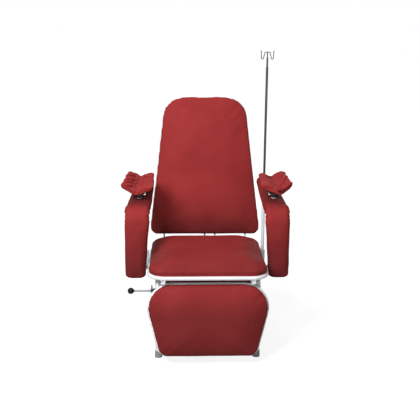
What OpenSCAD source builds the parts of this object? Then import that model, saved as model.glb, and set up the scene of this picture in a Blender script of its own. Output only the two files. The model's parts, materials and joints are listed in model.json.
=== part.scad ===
// Blood-draw chair: padded seat, reclining back and coupled leg rest on a bent tube frame.
// +X is the sitter's left as seen from the front, -Y is the front, +Z is up, the floor is z = 0.

/* [Seat] */
// Width of the seat cushion at its front
seat_w = 560; // [500:5:620]
// Width of the seat cushion at its rear
seat_rear_w = 540; // [480:5:600]
// Depth of the seat cushion
seat_d = 472; // [440:4:500]
// Height of the seat frame's top face
seat_h = 425; // [405:5:480]
// Thickness of the seat padding above its board
seat_pad_t = 56; // [40:1:70]
// Radius of the seat's front corners
seat_front_r = 80; // [50:5:110]
// Radius of the seat's rear corners
seat_rear_r = 70; // [50:5:100]

/* [Backrest] */
// How far the back cushion's foot stays inside the seat on each side
back_in = 2; // [0:1:30]
// Width of the back cushion at its top
back_top_w = 398; // [340:5:450]
// Length of the back cushion
back_len = 692; // [600:5:760]
// Radius of the lower corners
back_low_r = 42; // [30:2:70]
// Radius of the upper corners
back_top_r = 105; // [60:5:120]
// Lean of the backrest from the vertical at rest
back_lean_angle = 11.5; // [8:0.5:16]
// Thickness of the padding on the back and the leg rest
pad_t = 48; // [36:1:54]
// Angle through which the backrest and the leg rest turn
recline_angle = 60; // [45:1:62]

/* [Leg rest] */
// How far the leg rest's widest part stays inside the seat on each side
leg_in = 1; // [0:1:20]
// Length of the leg rest cushion
leg_len = 340; // [290:4:350]
// Angle by which each side leans in towards the foot
leg_taper_angle = 14.5; // [8:0.1:18]
// Radius of the upper corners
leg_top_r = 115; // [90:5:125]
// Radius of the lower corners
leg_low_r = 50; // [30:5:70]
// Lean of the leg rest from the vertical at rest
leg_lean_angle = 9.7; // [6:0.1:12]

/* [Frame] */
// Diameter of the leg tubes
leg_tube_d = 28; // [25:1:30]
// Diameter of the tube rims behind the cushions
rim_d = 20; // [16:1:22]
// Wall of every tube
tube_wall = 2; // [1.5:0.1:2.5]
// Spacing of the leg tubes from side to side
leg_span = 466; // [430:2:480]
// Spacing of the leg tubes from front to rear
leg_base = 471; // [440:5:500]
// Bend radius of the side frames
side_bend_r = 60; // [45:5:80]
// How far the rims stand out past the cushions
rim_proud = 6; // [3:1:9]
// Thickness of the boards under the cushions
board_t = 12; // [9:1:15]

/* [Arms] */
// Gap between the seat cushion and the arm's lower end
arm_clear = 14; // [10:1:30]
// Width of the arm pad at the knee
arm_w = 118; // [105:1:122]
// Width of the arm pad at its lower end
arm_low_w = 97; // [85:1:100]
// Width of the arm pad at its rear end
arm_rear_w = 87; // [75:1:92]
// Thickness of the arm pad
arm_t = 50; // [40:1:54]
// Height of the knee of the arm's centre line above the seat frame's top
arm_knee_up = 249; // [230:2:290]
// Drop of the arm's lower end below the seat frame's top
arm_foot_drop = 67; // [63:1:75]
// Slope of the arm's upper stretch
arm_rise_angle = 14.5; // [8:0.5:16]
// Length of the arm's upper stretch
arm_len = 336; // [300:2:340]
// Inward sweep of the arm's upper stretch
arm_sweep_angle = 5.5; // [3:0.5:6]
// How far the arms can be raised
arm_lift = 60; // [30:5:60]

/* [Arm troughs] */
// Length of an arm trough
trough_len = 190; // [160:5:210]
// Width of an arm trough at its front
trough_w = 158; // [140:2:164]
// Width of an arm trough at its rear
trough_rear_w = 126; // [110:2:134]
// Thickness of the trough's padding
trough_t = 26; // [18:1:30]
// Depth of the trough's hollow
trough_dip = 22; // [14:1:26]

/* [Drip pole] */
// Diameter of the sliding pole
pole_d = 12; // [10:1:13]
// Height of the hooks' crossbar above the seat frame's top when the pole is down
pole_top_up = 965; // [850:5:1020]
// Distance from the middle of the chair to the pole
pole_x = 301; // [299:1:325]

/* [Release lever] */
// Diameter of the ball knob
ball_d = 30; // [24:1:36]
// Reach of the knob's centre from the leg's centre
lever_reach = 127; // [110:1:150]
// Drop of the lever below the seat frame's top
lever_drop = 90; // [80:1:100]

/* [Hidden] */
$fn = 48;
soft_fn = 9;        // steps in each corner of a soft outline
side_steps = 5;     // steps along each side of a soft outline

white = [0.92, 0.92, 0.92];
vinyl = [0.60, 0.21, 0.21];
steel = [0.62, 0.63, 0.65];
dark = [0.12, 0.12, 0.13];
grey = [0.45, 0.46, 0.48];

overrun = 1;        // length by which a cut runs past its face
run_gap = 0.05;     // radial clearance of a turning or sliding fit
soft_gap = 0.3;     // clearance round soft pieces
weld_sink = 1;      // depth to which a welded piece enters a tube
bead_proud = 0.15;  // weld bead where a tube's bend meets its straight length
bead_len = 3;
arc_steps = 10;     // steps of a quarter turn in flat outlines

back_w = seat_w - 2 * back_in;
leg_w = seat_w - 2 * leg_in;

// Places from front to rear
seat_y = -314;
leg_set_back = 59;                          // leg centre behind the cushion's front
front_leg_y = seat_y + leg_set_back;
rear_leg_y = front_leg_y + leg_base;
rim_z = seat_h - rim_d / 2;                 // centre height of the seat's rim tube
rail_z = seat_h - rim_d - leg_tube_d / 2;   // centre height of the side rails
leg_x = leg_span / 2;

// Hinges of the backrest and the leg rest
hinge_x = 209;      // middle of each hinge lug
lug_t = 8;
ear_t = 8;
ear_gap = 0.5;      // side clearance between a lug and its ears
hinge_bolt_d = 8;
boss_r = 11;
hinge_rise = 5;                             // back hinge above the seat frame's top
hinge_past = 5;                             // back hinge behind the rear legs
back_hinge = [rear_leg_y + hinge_past, seat_h + hinge_rise];
leg_hinge_drop = 33;                        // leg hinge below the seat frame's top
leg_hinge_in = 10;                          // leg hinge behind the cushion's front
leg_hinge = [seat_y + leg_hinge_in, seat_h - leg_hinge_drop];

// Seats of the two swinging panels: offset of the hinge in each panel's own frame
back_hinge_low = 37;                        // hinge below the back cushion's foot
back_hinge_fwd = 1.4;                       // hinge in front of the board's rear face
leg_hinge_up = 8.7;                         // hinge above the leg cushion's top
leg_hinge_fwd = 20.9;                       // hinge in front of the board's rear face
function along(tilt) = [sin(tilt), cos(tilt)];
function facing(tilt) = [-cos(tilt), sin(tilt)];
back_org = back_hinge + along(back_lean_angle) * back_hinge_low - facing(back_lean_angle) * back_hinge_fwd;
leg_org = leg_hinge - along(leg_lean_angle) * (leg_len + leg_hinge_up) - facing(leg_lean_angle) * leg_hinge_fwd;

// Link work: equal cranks that point straight down half way through the travel
crank_len = 70;
crank_t = 8;
crank_r = 12;
rod_bolt_d = 8;
rod_d = 16;
crank_dir = [sin(recline_angle / 2), -cos(recline_angle / 2)];
rear_pin = back_hinge + crank_len * crank_dir;
front_pin = leg_hinge + crank_len * crank_dir;
fork_t = 5;
fork_gap = 0.5;

// Gas spring: a fixed cylinder whose rod pin rides in a slot of the crank
gas_x = 52;
gas_drop = 48;                              // spring line below the back hinge
gas_z = back_hinge[1] - gas_drop;
gas_rod_d = 10;
gas_tube_d = 22;
gas_pin_d = 8;
slot_play = 1;                              // play of the pin across the slot
slot_end = 1.5;                             // play at each end of the slot
slide_share = 1.0775;   // pin travel for each radian, as a share of gas_drop
gas_travel = gas_drop * slide_share * recline_angle * PI / 180;
gas_pin_y = back_hinge[0] + gas_travel / 2;
gas_eye_set = 233;                          // spring's fixed eye behind the cushion's front
gas_eye_y = seat_y + gas_eye_set;
gas_head_set = 55;                          // cylinder's mouth to the pin when the rod is in
gas_head_y = gas_pin_y - gas_travel - gas_head_set;
cross_set = 34;                             // middle cross tube ahead of the fixed eye
cross_y = gas_eye_y - cross_set;
cross_d = 25;
stretcher_d = 22;
stretcher_drop = 135;                       // stretchers below the seat frame's top
stretcher_z = seat_h - stretcher_drop;

// Arms
arm_set_back = 121;                         // arms behind the front legs
arm_out = seat_w / 2 + arm_clear + arm_low_w;   // outer edge of the arm
arm_knee_z = seat_h + arm_knee_up;
arm_foot_z = seat_h - arm_foot_drop;
lever_z = seat_h - lever_drop;
pole_top_z = seat_h + pole_top_up;
arm_y = front_leg_y + arm_set_back;         // centre plane of the hanging stretch
arm_bend_r = 60;
strip_t = 5;
strip_w = 48;
strip_gap = 0.5;
post_d = 25;
socket_wall = 3.5;
socket_len = 108;
socket_drop = 63;                           // socket's mouth below the seat frame's top
socket_z = seat_h - socket_drop;
post_play = 0.1;
post_out = 3;                               // post outside the middle of the pad's knee
arm_post_x = arm_out - arm_w / 2 + post_out;
post_stand = 17.5;                          // post centre behind the strip's rear face
arm_corner_r = 17;
trough_at = 105;                            // trough post behind the hanging stretch
swivel_d = 16;
swivel_wall = 4;
trough_pitch_angle = 11;                          // slope of the trough's bed at rest
tilt_up = 20;                               // tilt bolt above the arm pad
tilt_bolt_d = 8;

// Drip pole
pole_tube_d = 18;
pole_set_back = 20;
pole_y = rear_leg_y + pole_set_back;
sleeve_wall = 5;
sleeve_len = 80;
sleeve_drop = 135;                          // sleeve's foot below the seat frame's top
sleeve_z = seat_h - sleeve_drop;
pole_tube_up = 320;                         // fixed tube's top above the seat frame's top
pole_tube_top = seat_h + pole_tube_up;
wire_d = 4;

// Small joinery
knob_d = 36;
knob_t = 18;
screw_d = 8;

// Geometry helpers
function unit(v) = v / norm(v);
function turn(a, b) = atan2(a[0] * b[1] - a[1] * b[0], a[0] * b[0] + a[1] * b[1]);
// Rounded corner between a-c and c-b: centre, radius, first angle, sweep
function fillet(a, c, b, r) =
  let (u = unit(c - a), v = unit(b - c), t = turn(u, v), s = sign(t), k = r * tan(abs(t) / 2),
       side = s * [-u[1], u[0]])
  [c - u * k + r * side, r, atan2(-side[1], -side[0]), t];
function on_arc(f, share) = f[0] + f[1] * [cos(f[2] + f[3] * share), sin(f[2] + f[3] * share)];
function plain(p) = [p, 0, 0, 0];
function bends(pts, rs, closed) = let (n = len(pts))
  [for (i = [0 : n - 1]) (closed || (i > 0 && i < n - 1)) && rs[i] > 0
    ? fillet(pts[(i + n - 1) % n], pts[i], pts[(i + 1) % n], rs[i]) : plain(pts[i])];

// A round bar or a flat bar (wide along the plane's normal) along a bent path in the XY plane
module bar_section(d, w) {
  if (w == 0) circle(d = d); else square([d, w], center = true);
}
// Right-angled bends are one run of tube; the others are butt welded with a low bead
right_angle = 90;
function beaded(f) = f[3] != 0 && round(abs(f[3]) * 1000) != 1000 * right_angle;
module bent_bar(pts, rs, d, w = 0, closed = false, past = 0) {
  b = bends(pts, rs, closed);
  n = len(b);
  for (i = [0 : closed ? n - 1 : n - 2]) {
    p = on_arc(b[i], 1);
    q = on_arc(b[(i + 1) % n], 0);
    dir = unit(q - p);
    first = !closed && i == 0 ? past : 0;
    last = !closed && i == n - 2 ? past : 0;
    translate(concat(p - dir * first, [0])) rotate([0, 90, atan2(dir[1], dir[0])]) rotate([0, 0, 90])
      linear_extrude(norm(q - p) + first + last) bar_section(d, w);
  }
  for (f = b) if (f[3] != 0) {
    translate(concat(f[0], [0])) rotate([0, 0, min(f[2], f[2] + f[3])])
      rotate_extrude(angle = abs(f[3])) translate([f[1], 0]) bar_section(d, w);
    if (beaded(f)) for (share = [0, 1]) translate(concat(f[0], [0])) rotate([90, 0, f[2] + f[3] * share])
      translate([f[1], 0, -bead_len / 2]) linear_extrude(bead_len)
      bar_section(d + 2 * bead_proud, w == 0 ? 0 : w + 2 * bead_proud);
  }
}
module bent_tube(pts, rs, d, closed = false) {
  difference() {
    bent_bar(pts, rs, d, closed = closed);
    bent_bar(pts, rs, d - 2 * tube_wall, closed = closed, past = overrun);
  }
}
// Plane of the side view: x is the chair's Y, y is the chair's Z, thickness runs from x0 to x1
module side_plate(x0, x1) translate([x0, 0, 0]) rotate([90, 0, 90]) linear_extrude(x1 - x0) children();
module side_rod(p, d, x0, x1) translate([x0, p[0], p[1]]) rotate([0, 90, 0]) cylinder(h = x1 - x0, d = d);
// Flat link with round ends
function arc(c, r, from, to) = let (n = ceil(abs(to - from) / right_angle * arc_steps))
  [for (i = [0 : n]) c + r * [cos(from + (to - from) * i / n), sin(from + (to - from) * i / n)]];
module link_2d(p, q, r, s) {
  u = unit(q - p);
  a = acos((r - s) / norm(q - p));
  c = atan2(u[1], u[0]);
  polygon(concat(arc(p, r, c + a, c + 360 - a), arc(q, s, c - a, c + a)));
}
module tube_x(p, d, x0, x1) difference() {
  side_rod(p, d, x0, x1);
  side_rod(p, d - 2 * tube_wall, x0 - overrun, x1 + overrun);
}
module both_sides() for (side = [0, 1]) mirror([side, 0, 0]) children();
module panel(org, tilt) translate([0, org[0], org[1]]) rotate([90 - tilt, 0, 0]) children();
module hex_bolt(d, length, head) {
  cylinder(h = length, d = d);
  translate([0, 0, -head]) cylinder(h = head, d = d * 1.8, $fn = 6);
  translate([0, 0, length - head]) cylinder(h = head, d = d * 1.8, $fn = 6);
}

// Outlines of the three cushions: corner points, foot first, and corner radii
seat_pts = [[-seat_w, 0] / 2, [seat_w, 0] / 2, [seat_rear_w / 2, seat_d], [-seat_rear_w / 2, seat_d]];
seat_rs = [seat_front_r, seat_front_r, seat_rear_r, seat_rear_r];
back_pts = [[-back_w, 0] / 2, [back_w, 0] / 2, [back_top_w / 2, back_len], [-back_top_w / 2, back_len]];
back_rs = [back_low_r, back_low_r, back_top_r, back_top_r];
leg_top_half = leg_w / 2 + leg_top_r * (1 / tan(45 - leg_taper_angle / 2) - 1);
leg_foot_half = leg_top_half - leg_len * tan(leg_taper_angle);
leg_pts = [[-leg_foot_half, 0], [leg_foot_half, 0], [leg_top_half, leg_len], [-leg_top_half, leg_len]];
leg_rs = [leg_low_r, leg_low_r, leg_top_r, leg_top_r];

// Outline grown outwards: same corner centres, larger radii
function grown(pts, rs, by) = let (b = bends(pts, rs, true), n = len(b)) [for (i = [0 : n - 1])
  let (u = unit(pts[i] - pts[(i + n - 1) % n]), v = unit(pts[(i + 1) % n] - pts[i]), t = turn(u, v))
  pts[i] + by / cos(t / 2) * unit(u - v)];
function grown_rs(rs, by) = [for (r = rs) r + by];
// Soft outline: arcs at the corners and sides that pull in by draw between them
function soft_ring(pts, rs, by, draw) = let (b = bends(pts, rs, true), n = len(b)) [for (i = [0 : n - 1])
  let (f = [b[i][0], b[i][1] + by, b[i][2], b[i][3]], g = b[(i + 1) % n],
       p = on_arc(f, 1), q = on_arc([g[0], g[1] + by, g[2], g[3]], 0), v = unit(q - p))
  each concat([for (k = [0 : soft_fn]) on_arc(f, k / soft_fn)],
    [for (k = [1 : side_steps - 1]) let (s = k / side_steps)
      p + (q - p) * s + [-v[1], v[0]] * draw * 4 * s * (1 - s)])];
function middle(ring) = [for (k = [0, 1]) let (c = [for (p = ring) p[k]]) (min(c) + max(c)) / 2];

module rim(pts, rs) {
  by = rim_proud - rim_d / 2;
  difference() {
    translate([0, 0, -rim_d / 2]) bent_tube(grown(pts, rs, by), grown_rs(rs, by), rim_d, closed = true);
    // drain hole for the paint bath, under the middle of the foot tube
    translate([0, -by, -rim_d - overrun]) cylinder(h = rim_d / 2 + overrun, d = drain_d);
  }
}
drain_d = 5;
module rounded_board(pts, rs, by, t)
  linear_extrude(t) polygon([for (f = bends(grown(pts, rs, by), grown_rs(rs, by), true))
    each arc(f[0], f[1], f[2], f[2] + f[3])]);
// Domed cushion: a low side, then a pillow-like rise to the middle
level_shares = [[0, 0], [0.3, 1], [0.65, 1]];
dome_shares = [1, 0.98, 0.94, 0.87, 0.76, 0.60, 0.40, 0.20];
side_share = 0.3;
dome_power = 2.5;
dome_root = 0.6;
function dome(s) = pow(1 - pow(s, dome_power), dome_root);
module cushion(pts, rs, t) {
  outer = soft_ring(pts, rs, -cushion_inset, side_draw);
  mid = middle(outer);
  side = t * side_share;
  side_rings = [for (l = level_shares)
    [for (p = soft_ring(pts, rs, -cushion_inset - foot_roll * (1 - l[1]), side_draw)) [p[0], p[1], side * l[0]]]];
  top_rings = [for (s = dome_shares)
    [for (p = outer) let (q = mid + (p - mid) * s) [q[0], q[1], side + (t - side) * dome(s)]]];
  rings = concat(side_rings, top_rings);
  n = len(outer);
  m = len(rings);
  points = concat([for (r = rings) each r], [[mid[0], mid[1], 0], [mid[0], mid[1], t]]);
  faces = concat(
    [for (j = [0 : m - 2]) for (i = [0 : n - 1])
      each [[j * n + i, (j + 1) * n + (i + 1) % n, j * n + (i + 1) % n],
            [j * n + i, (j + 1) * n + i, (j + 1) * n + (i + 1) % n]]],
    [for (i = [0 : n - 1]) [i, (i + 1) % n, m * n]],
    [for (i = [0 : n - 1]) [(m - 1) * n + i, m * n + 1, (m - 1) * n + (i + 1) % n]]);
  polyhedron(points, faces);
}
cushion_inset = 1;
foot_roll = 6;
side_draw = 4;

// Welded base: two bent side frames, cross tubes, hinge ears and sockets
foot_floor = 5;     // rubber under each leg tube
side_pts = [[front_leg_y, foot_floor], [front_leg_y, rail_z], [rear_leg_y, rail_z], [rear_leg_y, foot_floor]];
side_rs = [0, side_bend_r, side_bend_r, 0];
stub_back = 30;     // weld stub of the back hinge, forward of the hinge
stub_drop = 32;
stub = [back_hinge[0] - stub_back, back_hinge[1] - stub_drop];
stub_r = 10;
ear_in = hinge_x - lug_t / 2 - ear_gap;
ear_out = hinge_x + lug_t / 2 + ear_gap;
socket_y = arm_y + arm_t / 2 + strip_gap + strip_t + post_stand;
socket_d = post_d + 2 * post_play + 2 * socket_wall;
bracket_d = 20;
seat_strap_shares = [0.29, 0.54, 0.80];
function seat_strap_y(s) = seat_y + seat_d * s;
seat_bolt_ys = [seat_strap_y(seat_strap_shares[0]), seat_strap_y(seat_strap_shares[2])];
seat_bolt_d = 8;
seat_bolt_play = 0.2;
gas_ear_gap = 6;
plug_depth = 8;     // cross tubes enter the side frames this far
sleeve_d = pole_tube_d + 2 * run_gap + 2 * sleeve_wall;
module side_frame() color(white) difference() {
  union() {
    translate([leg_x, 0, 0]) rotate([90, 0, 90]) bent_tube(side_pts, side_rs, leg_tube_d);
    for (x = [ear_in - ear_t, ear_out]) side_plate(x, x + ear_t) link_2d(back_hinge, stub, boss_r, stub_r);
    side_rod(stub, 2 * stub_r + 2 * weld_sink, ear_in - ear_t, leg_x - leg_tube_d / 2 + weld_sink);
    tube_x([socket_y, rail_z], bracket_d, leg_x + leg_tube_d / 2 - weld_sink,
           arm_post_x - socket_d / 2 + weld_sink);
    translate([arm_post_x, socket_y, socket_z]) cylinder(h = socket_len, d = socket_d);
    tube_x([(rear_leg_y + pole_y) / 2, sleeve_z + sleeve_len / 2], bracket_d,
           leg_x + leg_tube_d / 2 - 2 * weld_sink, pole_x - pole_tube_d / 2 - weld_sink);
    translate([pole_x, pole_y, sleeve_z]) cylinder(h = sleeve_len, d = sleeve_d);
  }
  side_rod(back_hinge, hinge_bolt_d + 2 * run_gap, ear_in - ear_t - overrun, ear_out + ear_t + overrun);
  translate([arm_post_x, socket_y, socket_z - overrun])
    cylinder(h = socket_len + 2 * overrun, d = post_d + 2 * post_play);
  translate([arm_post_x, socket_y, arm_knob_z]) rotate([-90, 0, 0])
    cylinder(h = socket_d, d = screw_d + 2 * run_gap);
  translate([pole_x, pole_y, sleeve_z - overrun])
    cylinder(h = sleeve_len + 2 * overrun, d = pole_tube_d + 2 * run_gap);
  for (y = seat_bolt_ys) translate([leg_x, y, rail_z - leg_tube_d])
    cylinder(h = 2 * leg_tube_d, d = seat_bolt_d + 2 * seat_bolt_play);
  for (c = cross_places) side_rod(c[0], c[1] + 2 * run_gap, leg_x - leg_tube_d, plug_x);
}
module side_frame_left() mirror([1, 0, 0]) side_frame();
module side_frame_right() side_frame();
// Cross tubes plug into the side frames and are welded round
plug_x = leg_x - leg_tube_d / 2 + plug_depth;
cross_places = [[[front_leg_y, stretcher_z], stretcher_d], [[rear_leg_y, stretcher_z], stretcher_d],
  [[cross_y, rail_z], cross_d]];
module cross_tubes() color(white) difference() {
  union() {
    for (c = cross_places) side_rod(c[0], c[1], -plug_x + run_gap, plug_x - run_gap);
    for (x = [gas_x - gas_ear_gap - fork_t, gas_x + gas_ear_gap]) side_plate(x, x + fork_t)
      link_2d([gas_eye_y, gas_z], [cross_y, rail_z], boss_r, boss_r);
  }
  for (c = cross_places) side_rod(c[0], c[1] - 2 * tube_wall, -leg_x, leg_x);
  side_rod([gas_eye_y, gas_z], gas_pin_d + 2 * run_gap, gas_x - 4 * gas_ear_gap, gas_x + 4 * gas_ear_gap);
}
arm_knob_up = 78;   // clamp screw above the socket's foot
arm_knob_z = socket_z + arm_knob_up;

foot_h = 32;
foot_wall = 2.5;
foot_flare = 1.5;
module foot_caps() color(grey) both_sides() for (y = [front_leg_y, rear_leg_y])
  translate([leg_x, y, 0]) difference() {
    cylinder(h = foot_h, r1 = leg_tube_d / 2 + foot_wall + foot_flare, r2 = leg_tube_d / 2 + foot_wall);
    translate([0, 0, foot_floor]) cylinder(h = foot_h, d = leg_tube_d + 2 * run_gap);
  }

strap_t = 5;
strap_w = 40;
seat_boss_d = 24;
module seat_frame() color(white) difference() {
  union() {
    translate([0, seat_y, seat_h]) rim(seat_pts, seat_rs);
    for (s = seat_strap_shares) {
      half = seat_w / 2 + (seat_rear_w - seat_w) / 2 * s - rim_d / 3;
      translate([-half, seat_strap_y(s) - strap_w / 2, seat_h - strap_t])
        cube([2 * half, strap_w, strap_t]);
    }
    both_sides() {
      for (y = seat_bolt_ys) translate([leg_x, y, rail_z]) difference() {
        cylinder(h = seat_h - strap_t - rail_z, d = seat_boss_d);
        rotate([90, 0, 0]) cylinder(h = 2 * seat_boss_d, d = leg_tube_d + 2 * run_gap, center = true);
      }
      for (x = [ear_in - fork_t, ear_out]) side_plate(x, x + fork_t)
        link_2d(leg_hinge, [seat_y - rim_proud + rim_d / 2, rim_z], boss_r, rim_d / 2 - weld_sink);
    }
  }
  both_sides() {
    side_rod(leg_hinge, hinge_bolt_d + 2 * run_gap, ear_in - ear_t - overrun, ear_out + ear_t + overrun);
    for (y = seat_bolt_ys) translate([leg_x, y, rail_z])
      cylinder(h = seat_h, d = seat_bolt_d + 2 * seat_bolt_play);
  }
}
bolt_head = 5;
module seat_bolts() color(steel) both_sides() for (y = seat_bolt_ys)
  translate([leg_x, y, rail_z - leg_tube_d / 2]) {
    cylinder(h = seat_h - strap_t / 5 - rail_z + leg_tube_d / 2, d = seat_bolt_d);
    translate([0, 0, -bolt_head]) cylinder(h = bolt_head, d = 1.8 * seat_bolt_d, $fn = 6);
  }
board_inset = 3;
module seat_board() color(vinyl) translate([0, seat_y, seat_h])
  rounded_board(seat_pts, seat_rs, -board_inset, board_t);
module seat_cushion() color(vinyl) translate([0, seat_y, seat_h + board_t + soft_gap])
  cushion(seat_pts, seat_rs, seat_pad_t);
apron_half = 198;
apron_t = 15;
apron_set = 55;     // apron's face behind the cushion's front
apron_h = 74;
apron_r = 6;
function rounded(a, b, r) = concat(arc(a + [r, r], r, 180, 270), arc([b[0] - r, a[1] + r], r, -90, 0),
  arc(b - [r, r], r, 0, 90), arc([a[0] + r, b[1] - r], r, 90, 180));
module front_apron() color(vinyl) side_plate(-apron_half, apron_half)
  polygon(rounded([seat_y + apron_set, seat_h - apron_h], [seat_y + apron_set + apron_t, seat_h], apron_r));

// Hinge bolts pass through both ears and the lug between them
module hinge_bolts(p, ear) both_sides()
  translate([ear_in - ear, p[0], p[1]]) rotate([0, 90, 0])
    hex_bolt(hinge_bolt_d, lug_t + 2 * ear_gap + 2 * ear + bolt_head, bolt_head);
module leg_hinge_bolts() color(steel) hinge_bolts(leg_hinge, fork_t);
module back_hinge_bolts() color(steel) hinge_bolts(back_hinge, ear_t);

gas_eye_t = 2 * gas_ear_gap - 2 * fork_gap;
gas_seal = 8;
module gas_cylinder() color(dark) difference() {
  union() {
    side_rod([gas_eye_y, gas_z], gas_tube_d, gas_x - gas_eye_t / 2, gas_x + gas_eye_t / 2);
    translate([gas_x, gas_eye_y, gas_z]) rotate([-90, 0, 0])
      cylinder(h = gas_tube_d + weld_sink, d = gas_eye_t - 2 * weld_sink);
    translate([gas_x, gas_eye_y + gas_tube_d, gas_z]) rotate([-90, 0, 0])
      cylinder(h = gas_head_y - gas_eye_y - gas_tube_d, d = gas_tube_d);
  }
  side_rod([gas_eye_y, gas_z], gas_pin_d + 2 * run_gap, gas_x - gas_tube_d, gas_x + gas_tube_d);
  translate([gas_x, gas_eye_y + gas_tube_d + gas_seal, gas_z]) rotate([-90, 0, 0])
    cylinder(h = gas_head_y - gas_eye_y, d = gas_rod_d + 2 * run_gap);
}
module gas_cylinder_bolt() color(steel)
  translate([gas_x - gas_ear_gap - fork_t, gas_eye_y, gas_z]) rotate([0, 90, 0])
    hex_bolt(gas_pin_d, 2 * gas_ear_gap + 2 * fork_t + bolt_head, bolt_head);
gas_rod_tail = 28;  // rod left in the cylinder when it is out
module gas_rod() color(steel) {
  rod_start = gas_head_y - gas_rod_tail;
  fork_root = gas_tube_d;
  translate([gas_x, rod_start, gas_z]) rotate([-90, 0, 0])
    cylinder(h = gas_pin_y - fork_root - rod_start + weld_sink, d = gas_rod_d);
  for (s = [-1, 1]) {
    x = gas_x + s * (crank_t / 2 + fork_gap + fork_t / 2);
    side_plate(x - fork_t / 2, x + fork_t / 2)
      link_2d([gas_pin_y, gas_z], [gas_pin_y - fork_root, gas_z], gas_rod_d, gas_rod_d * 0.8);
  }
  translate([gas_x - crank_t / 2 - fork_gap - fork_t, gas_pin_y - fork_root - gas_rod_d / 2,
             gas_z - gas_rod_d * 0.7])
    cube([crank_t + 2 * fork_gap + 2 * fork_t, gas_rod_d / 2, gas_rod_d * 1.4]);
  side_rod([gas_pin_y, gas_z], gas_pin_d, gas_x - crank_t / 2 - fork_gap - fork_t,
           gas_x + crank_t / 2 + fork_gap + fork_t);
}

// Release lever on the outer side of the front leg
lever_stand = 15;   // pivot outside the leg's wall
lever_pivot = [leg_x + leg_tube_d / 2 + lever_stand, lever_z];
lever_rod_d = 9;
lever_hub_d = 13;
lever_pin_d = 6;
lever_hub_t = 12;
lever_ear_t = 3.5;
lever_horn = 26;
bracket_h = 24;
bracket_drop = 13;
module lever_bracket() color(dark) mirror([1, 0, 0]) difference() {
  union() {
    for (s = [-1, 1]) translate([0, front_leg_y + s * (lever_hub_t / 2 + fork_gap + lever_ear_t / 2), 0])
      rotate([90, 0, 0]) translate([0, 0, -lever_ear_t / 2]) linear_extrude(lever_ear_t)
        link_2d(lever_pivot, [leg_x + leg_tube_d / 4, lever_z], lever_hub_d / 2, lever_hub_d / 2);
    translate([leg_x, front_leg_y - lever_hub_t / 2 - fork_gap - lever_ear_t, lever_z - bracket_drop])
      cube([leg_tube_d / 2 + lever_ear_t, lever_hub_t + 2 * fork_gap + 2 * lever_ear_t, bracket_h]);
  }
  translate([leg_x, 0, 0]) rotate([90, 0, 90]) bent_bar(side_pts, side_rs, leg_tube_d + 2 * run_gap);
  translate([leg_x - leg_tube_d, front_leg_y - leg_tube_d, 0]) cube([leg_tube_d, 2 * leg_tube_d, seat_h]);
  translate([lever_pivot[0], front_leg_y + leg_tube_d, lever_z]) rotate([90, 0, 0])
    cylinder(h = 2 * leg_tube_d, d = lever_pin_d + 2 * run_gap);
}
pin_past = 2;       // pin beyond each ear
pin_len = lever_hub_t + 2 * fork_gap + 2 * lever_ear_t + 2 * pin_past;
module lever_pin() color(steel) mirror([1, 0, 0])
  translate([lever_pivot[0], front_leg_y + pin_len / 2, lever_z]) rotate([90, 0, 0])
    cylinder(h = pin_len, d = lever_pin_d);
ball_x = leg_x + lever_reach;
ball_bite = 10;     // rod inside the ball
module release_lever() color(steel) mirror([1, 0, 0]) difference() {
  union() {
    translate([lever_pivot[0], front_leg_y + lever_hub_t / 2, lever_z]) rotate([90, 0, 0])
      cylinder(h = lever_hub_t, d = lever_hub_d);
    translate([lever_pivot[0], front_leg_y, lever_z]) rotate([0, 90, 0])
      cylinder(h = ball_x - ball_d / 2 + ball_bite - lever_pivot[0], d = lever_rod_d);
    translate([0, front_leg_y + lever_ear_t / 2, 0]) rotate([90, 0, 0]) linear_extrude(lever_ear_t)
      link_2d(lever_pivot, lever_pivot + [0, lever_horn], lever_hub_d / 2 - weld_sink, lever_pin_d / 2);
  }
  translate([lever_pivot[0], front_leg_y + leg_tube_d, lever_z]) rotate([90, 0, 0])
    cylinder(h = 2 * leg_tube_d, d = lever_pin_d + 2 * run_gap);
}
ball_neck = 2;
module lever_knob() color(dark) mirror([1, 0, 0]) difference() {
  union() {
    translate([ball_x, front_leg_y, lever_z]) sphere(d = ball_d);
    translate([ball_x - ball_d / 2 - ball_neck, front_leg_y, lever_z]) rotate([0, 90, 0])
      cylinder(h = ball_d / 2, d = lever_rod_d + 2 * ball_neck);
  }
  translate([ball_x - ball_d / 2 - ball_neck - overrun, front_leg_y, lever_z]) rotate([0, 90, 0])
    cylinder(h = ball_bite + ball_neck + overrun + run_gap, d = lever_rod_d + 2 * run_gap);
}

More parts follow.
